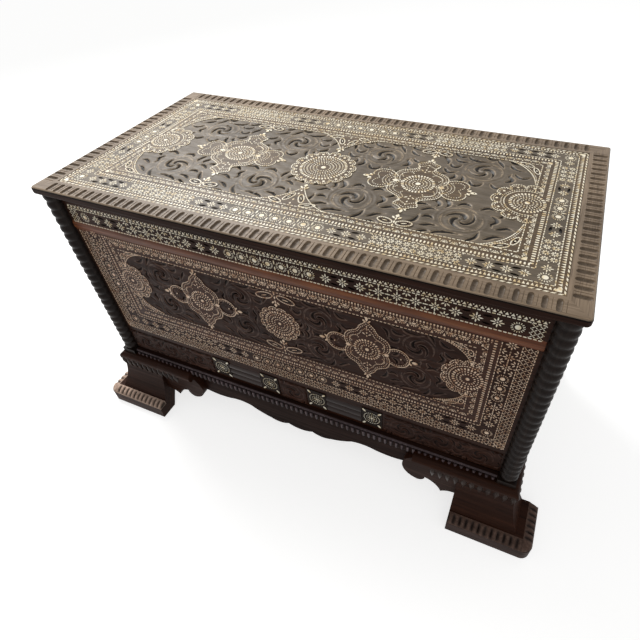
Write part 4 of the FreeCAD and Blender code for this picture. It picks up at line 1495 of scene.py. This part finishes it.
def gadroon(u):
    """An upright half-round bar with a rounded lower end, marked by how far each point lies back: a painted
    highlight on its crest, painted shade on its sides and lower end.
    """
    rings = []
    for q in np.linspace(0, 1, 8):
        size = math.sqrt(1.02 - (1 - q) ** 5)
        v = DENTIL_LOW + (DENTIL_TOP - DENTIL_LOW) * q - TOP_Z
        ring = []
        for a in np.linspace(0, math.pi, 9):
            back = 1 - size * (0.4 + 0.6 * q ** 0.5) * math.sin(a)
            out = DENTIL_PROUD * size * math.sin(a) - TRIM_SUNK
            ring.append((u + DENTIL_HALF * size * math.cos(a), v, out, max(back, 0)))
        rings.append(ring)
    return loft(rings)


def dress_mouldings():
    """Ledge and dentil row on the base mouldings."""
    low, high = span("base_moulding_front")
    runs = [("front", front_sheet(low[1]), low[0] + TRIM_INSET, high[0] - TRIM_INSET)]
    for name, side in NAMED_SIDES:
        moulding = "base_moulding_" + name
        ends = side * (span(moulding)[:, 1] - SIDE_MID_Y)
        runs.append((name, side_sheet(moulding, side), ends.min() + TRIM_INSET, ends.max() - TRIM_INSET))
    for name, sheet, u0, u1 in runs:
        skins = [half_round(LEDGE_MID - TOP_Z, LEDGE_HALF, -TRIM_SUNK, LEDGE_PROUD, u0, u1, LEDGE_PAINTED_TONE)]
        skins += [gadroon(u) for u in spots(u0, u1, DENTIL_PITCH)]
        new_piece("base_dentils_" + name, sheet, joined(skins), dentil, CRISP)


def edge_stations():
    """Places along a front foot's edge, the way out there and the distance along, none round the corner."""
    x, y = FOOT_CORNER
    stations = [((s, y), (0, -1), s - FOOT_HIGH[0]) for s in grid_line(FOOT_HIGH[0], x, -EDGE_STEP)]
    for a in np.linspace(-TURN / 4, -TURN / 2, CORNER_STEPS)[1:-1]:
        stations.append((FOOT_CORNER, polar(1, a), None))
    stations += [((x, s), (-1, 0), FOOT_HIGH[1] - s) for s in grid_line(y, FOOT_HIGH[1], EDGE_STEP)]
    return stations


def tongue_strip(side, stations):
    """Rounded edge of a foot's base, cut into tongues; smooth where it turns the corner."""
    rings = []
    wide, high = EDGE_WIDE - 1.2, EDGE_TOP - EDGE_LOW - 0.4
    for (x, y), (nx, ny), s in stations:
        ridge = 1.0 if s is None else abs(math.sin(math.pi * s / TONGUE_PITCH)) ** 0.7
        ring = [(0, EDGE_TOP - 0.2, 0), (0, EDGE_LOW, 0), (wide + 1, EDGE_LOW, 0)]
        for a in np.linspace(0, UPRIGHT, 11):
            gap = (1 - ridge) * (1 - abs(4 * a / math.pi - 1) ** 4)
            size = 1 - TONGUE_DEEP * gap
            # the gap is kept with each point: painted shade in the gaps, a painted highlight on the crests
            ring.append((1 + wide * math.cos(a) * size, EDGE_LOW + 0.2 + high * math.sin(a) * size, gap))
        rings.append([(-side * (x + nx * out), y + ny * out, z, gap) for out, z, gap in ring])
    return loft(rings)


def drop(side, along_front, s):
    """One drop of the row under a foot's lip, in front of the lid's edge or beside it."""
    rings = []
    for q in np.linspace(0.02, 0.98, 9):
        size = math.sin(math.pi * q ** 1.5)
        z = DROP_LOW + (DROP_TOP - DROP_LOW) * q
        ring = []
        for a in turns(10):
            place = s + DROP_HALF * size * math.cos(a)
            out = DROP_OUT - DROP_BACK + DROP_THICK * size * math.sin(a)
            if along_front:
                ring.append((-side * place, LID_LOW[1] - out, z))
            else:
                ring.append((side * (out - LID_LOW[0]), place, z))
        rings.append(ring)
    return loft(rings)


def foot_edges(name, side):
    """The feet of one side with a step cut round their bases, and the tongued edge in the steps."""
    back = LID_HIGH[1]
    (x, y), (far, near) = FOOT_CORNER, FOOT_LOW[:2] - EDGE_CUT_OUT
    end_x, end_y = FOOT_HIGH[:2] + EDGE_CUT_PAST
    start, end = REAR_FOOT_Y - EDGE_CUT_PAST, back + EDGE_CUT_PAST
    front_plan = [(far, near), (end_x, near), (end_x, y), (x, y), (x, end_y), (far, end_y)]
    rear_plan = [(far, start), (x, start), (x, end), (far, end)]
    for row_name, plan, material in (("front_", front_plan, dark_x), ("rear_", rear_plan, dark_y)):
        foot = "foot_" + row_name + name
        cutter = prisms([np.array(plan) * (-side, 1)], EDGE_LOW, EDGE_TOP + EDGE_CUT_PAST)
        cut_piece(foot + "_body", foot, ROOM, cutter, material)
    rear_edge = [((x, s), (-1, 0), s - REAR_FOOT_Y) for s in grid_line(REAR_FOOT_Y, back, EDGE_STEP)]
    tongues = [tongue_strip(side, stations) for stations in (edge_stations(), rear_edge)]
    # left feet take the paler copy of the tongues' wood as painted light, right feet the darker copy as
    # painted shade
    finish = tongues_lit if side < 0 else tongues_shaded
    new_piece("foot_tongues_" + name, ROOM, joined(tongues), finish, CRISP_ROUND)


def lip_drops(name, side):
    """Rows of drops under the lips of the feet and their wings, on one side."""
    front, fore, rear = (span("bracket_" + wing + "_left") for wing in ("front", "side_front", "side_rear"))
    lip_front = front[0][0] + WING_LIP_FRONT * np.ptp(front[:, 0])
    lip_fore = fore[0][1] + WING_LIP_SIDE * np.ptp(fore[:, 1])
    lip_rear = rear[1][1] - WING_LIP_SIDE * np.ptp(rear[:, 1])
    start_x, start_y = LID_LOW[:2] - DROP_OUT
    drops = [drop(side, True, s) for s in spots(start_x, lip_front, DROP_PITCH)]
    for start, end in ((start_y, lip_fore), (lip_rear, LID_HIGH[1] - TRIM_INSET)):
        drops += [drop(side, False, s) for s in spots(start, end, DROP_PITCH)]
    new_piece("lip_drops_" + name, ROOM, joined(drops), lip, CRISP_ROUND)


def dress_feet():
    """Tongued edges and drops of the feet, side by side."""
    for name, side in NAMED_SIDES:
        foot_edges(name, side)
        lip_drops(name, side)


# Plain finishes of the CAD nodes and the width of their eased edges, by the start of a node's name

FINISHES = (
    ("lid_batten", inner_y), ("back_board", inner_x), ("bottom_board", inner_x), ("base_rail_back", inner_x),
    ("lid_border_front", rim_sheen_x), ("lid_border_back", rim_sheen_x), ("lid_border", rim_sheen_y), ("lid_panel", lid_sheen_x),
    ("front_bead", strip_x), ("left_bead", strip_y), ("right_bead", strip_y),
    ("front_", panel_x), ("left_", panel_y), ("right_", panel_y),
    ("corner_post", dark_z), ("foot_front", dark_x), ("foot_rear", dark_y), ("bracket_front", dark_x),
    ("bracket_side", dark_y), ("apron_front", base_x), ("apron_", base_y), ("base_moulding_front", base_x),
    ("base_moulding_", base_y), ("hinge_screws", steel), ("hinge_", brass),
)
EASED = (
    ("back_board", 1.6), ("bracket", 3.0), ("apron", 2.5), ("base_moulding", 1.5), ("lid_b", 0.6), ("", 0.8),
)


def finish_nodes():
    """Give each CAD node its finish and eased edges."""
    for name, item in NODES.items():
        item.data.materials.clear()
        item.data.materials.append(by_start(FINISHES, name))
        if not name.startswith("hinge"):
            weld = item.modifiers.new("weld", "WELD")
            weld.merge_threshold = WELD_GAP
            eased = item.modifiers.new("eased", "BEVEL")
            eased.width = by_start(EASED, name) * MM
            eased.segments = 3
            eased.limit_method = "ANGLE"
            eased.angle_limit = math.radians(50)


# Stage, in metres

CAMERA_AT = (0.4394, -0.80305, 1.1864)
CAMERA_TURN = (2.3139, 0.4562, -0.2433)
CAMERA_LENS = 26.71
CAMERA_SHIFT = (-0.0494, -0.0108)
FLOOR_REACH = 14.0

# Name, place, target, size and power of each lamp
LAMPS = (
    ("key_light", (-1.5, 0.9, 2.5), (0, 0, 0.6), 1.5, 74.0),
    ("front_fill", (1.2, -2.4, 2.2), (0, 0, 0.4), 2.2, 9.0),
)


def camera():
    """The photograph's viewpoint; the turn is an axis and angle, for a camera along +Z with +Y down."""
    axis = Vector(CAMERA_TURN)
    right, down, ahead = Matrix.Rotation(axis.length, 3, axis.normalized())
    data = bpy.data.cameras.new("camera")
    data.sensor_width = 36.0
    data.lens = CAMERA_LENS
    data.shift_x, data.shift_y = CAMERA_SHIFT
    data.clip_start = 0.02
    made = added("camera", data)
    made.matrix_world = Matrix.Translation(CAMERA_AT) @ Matrix((right, -down, -ahead)).transposed().to_4x4()
    bpy.context.scene.camera = made


def lamp(name, place, target, size, power):
    """A soft square lamp that faces a point."""
    data = bpy.data.lights.new(name, "AREA")
    data.size = size
    data.energy = power
    made = added(name, data)
    made.location = place
    made.rotation_euler = (Vector(target) - Vector(place)).to_track_quat("-Z", "Y").to_euler()


def seen_by_eye(tree, unseen, seen):
    """One level for light on its way, another for what the eye sees, straight or in a mirror or glass."""
    path = node(tree, "ShaderNodeLightPath").outputs
    share = path["Is Camera Ray"]
    for ray in ("Is Glossy Ray", "Is Transmission Ray"):
        share = node(tree, "ShaderNodeMath", {0: share, 1: path[ray]}, operation="MAXIMUM").outputs[0]
    return mapped(tree, share, 0.0, 1.0, unseen, seen)


def pale_floor():
    """Wide floor, nearly white to the eye."""
    mesh = bpy.data.meshes.new("floor")
    mesh.from_pydata([(x * FLOOR_REACH, y * FLOOR_REACH, 0) for x, y in CORNERS], [], [(0, 2, 3, 1)])
    floor = added("floor", mesh)
    material, tree = new_material("floor_pale")
    sockets = {
        "Base Color": (0.62, 0.62, 0.61, 1),
        "Roughness": 0.9,
        "Specular IOR Level": 0.0,
        "Emission Color": (1, 1, 1, 1),
        "Emission Strength": seen_by_eye(tree, unseen=0.0, seen=0.7),
    }
    shade(tree, sockets)
    mesh.materials.append(material)


def background():
    """White background, dimmer as a light than to the eye."""
    world = bpy.data.worlds.new("studio")
    bpy.context.scene.world = world
    world.use_nodes = True
    tree = world.node_tree
    back = tree.nodes["Background"]
    back.inputs["Color"].default_value = (1, 1, 1, 1)
    tree.links.new(seen_by_eye(tree, unseen=0.44, seen=1.0), back.inputs["Strength"])


finish_nodes()
dress_lid()
dress_walls()
dress_rails()
dress_mouldings()
dress_feet()
camera()
pale_floor()
background()
for settings in LAMPS:
    lamp(*settings)
bpy.context.scene.view_settings.view_transform = "Standard"
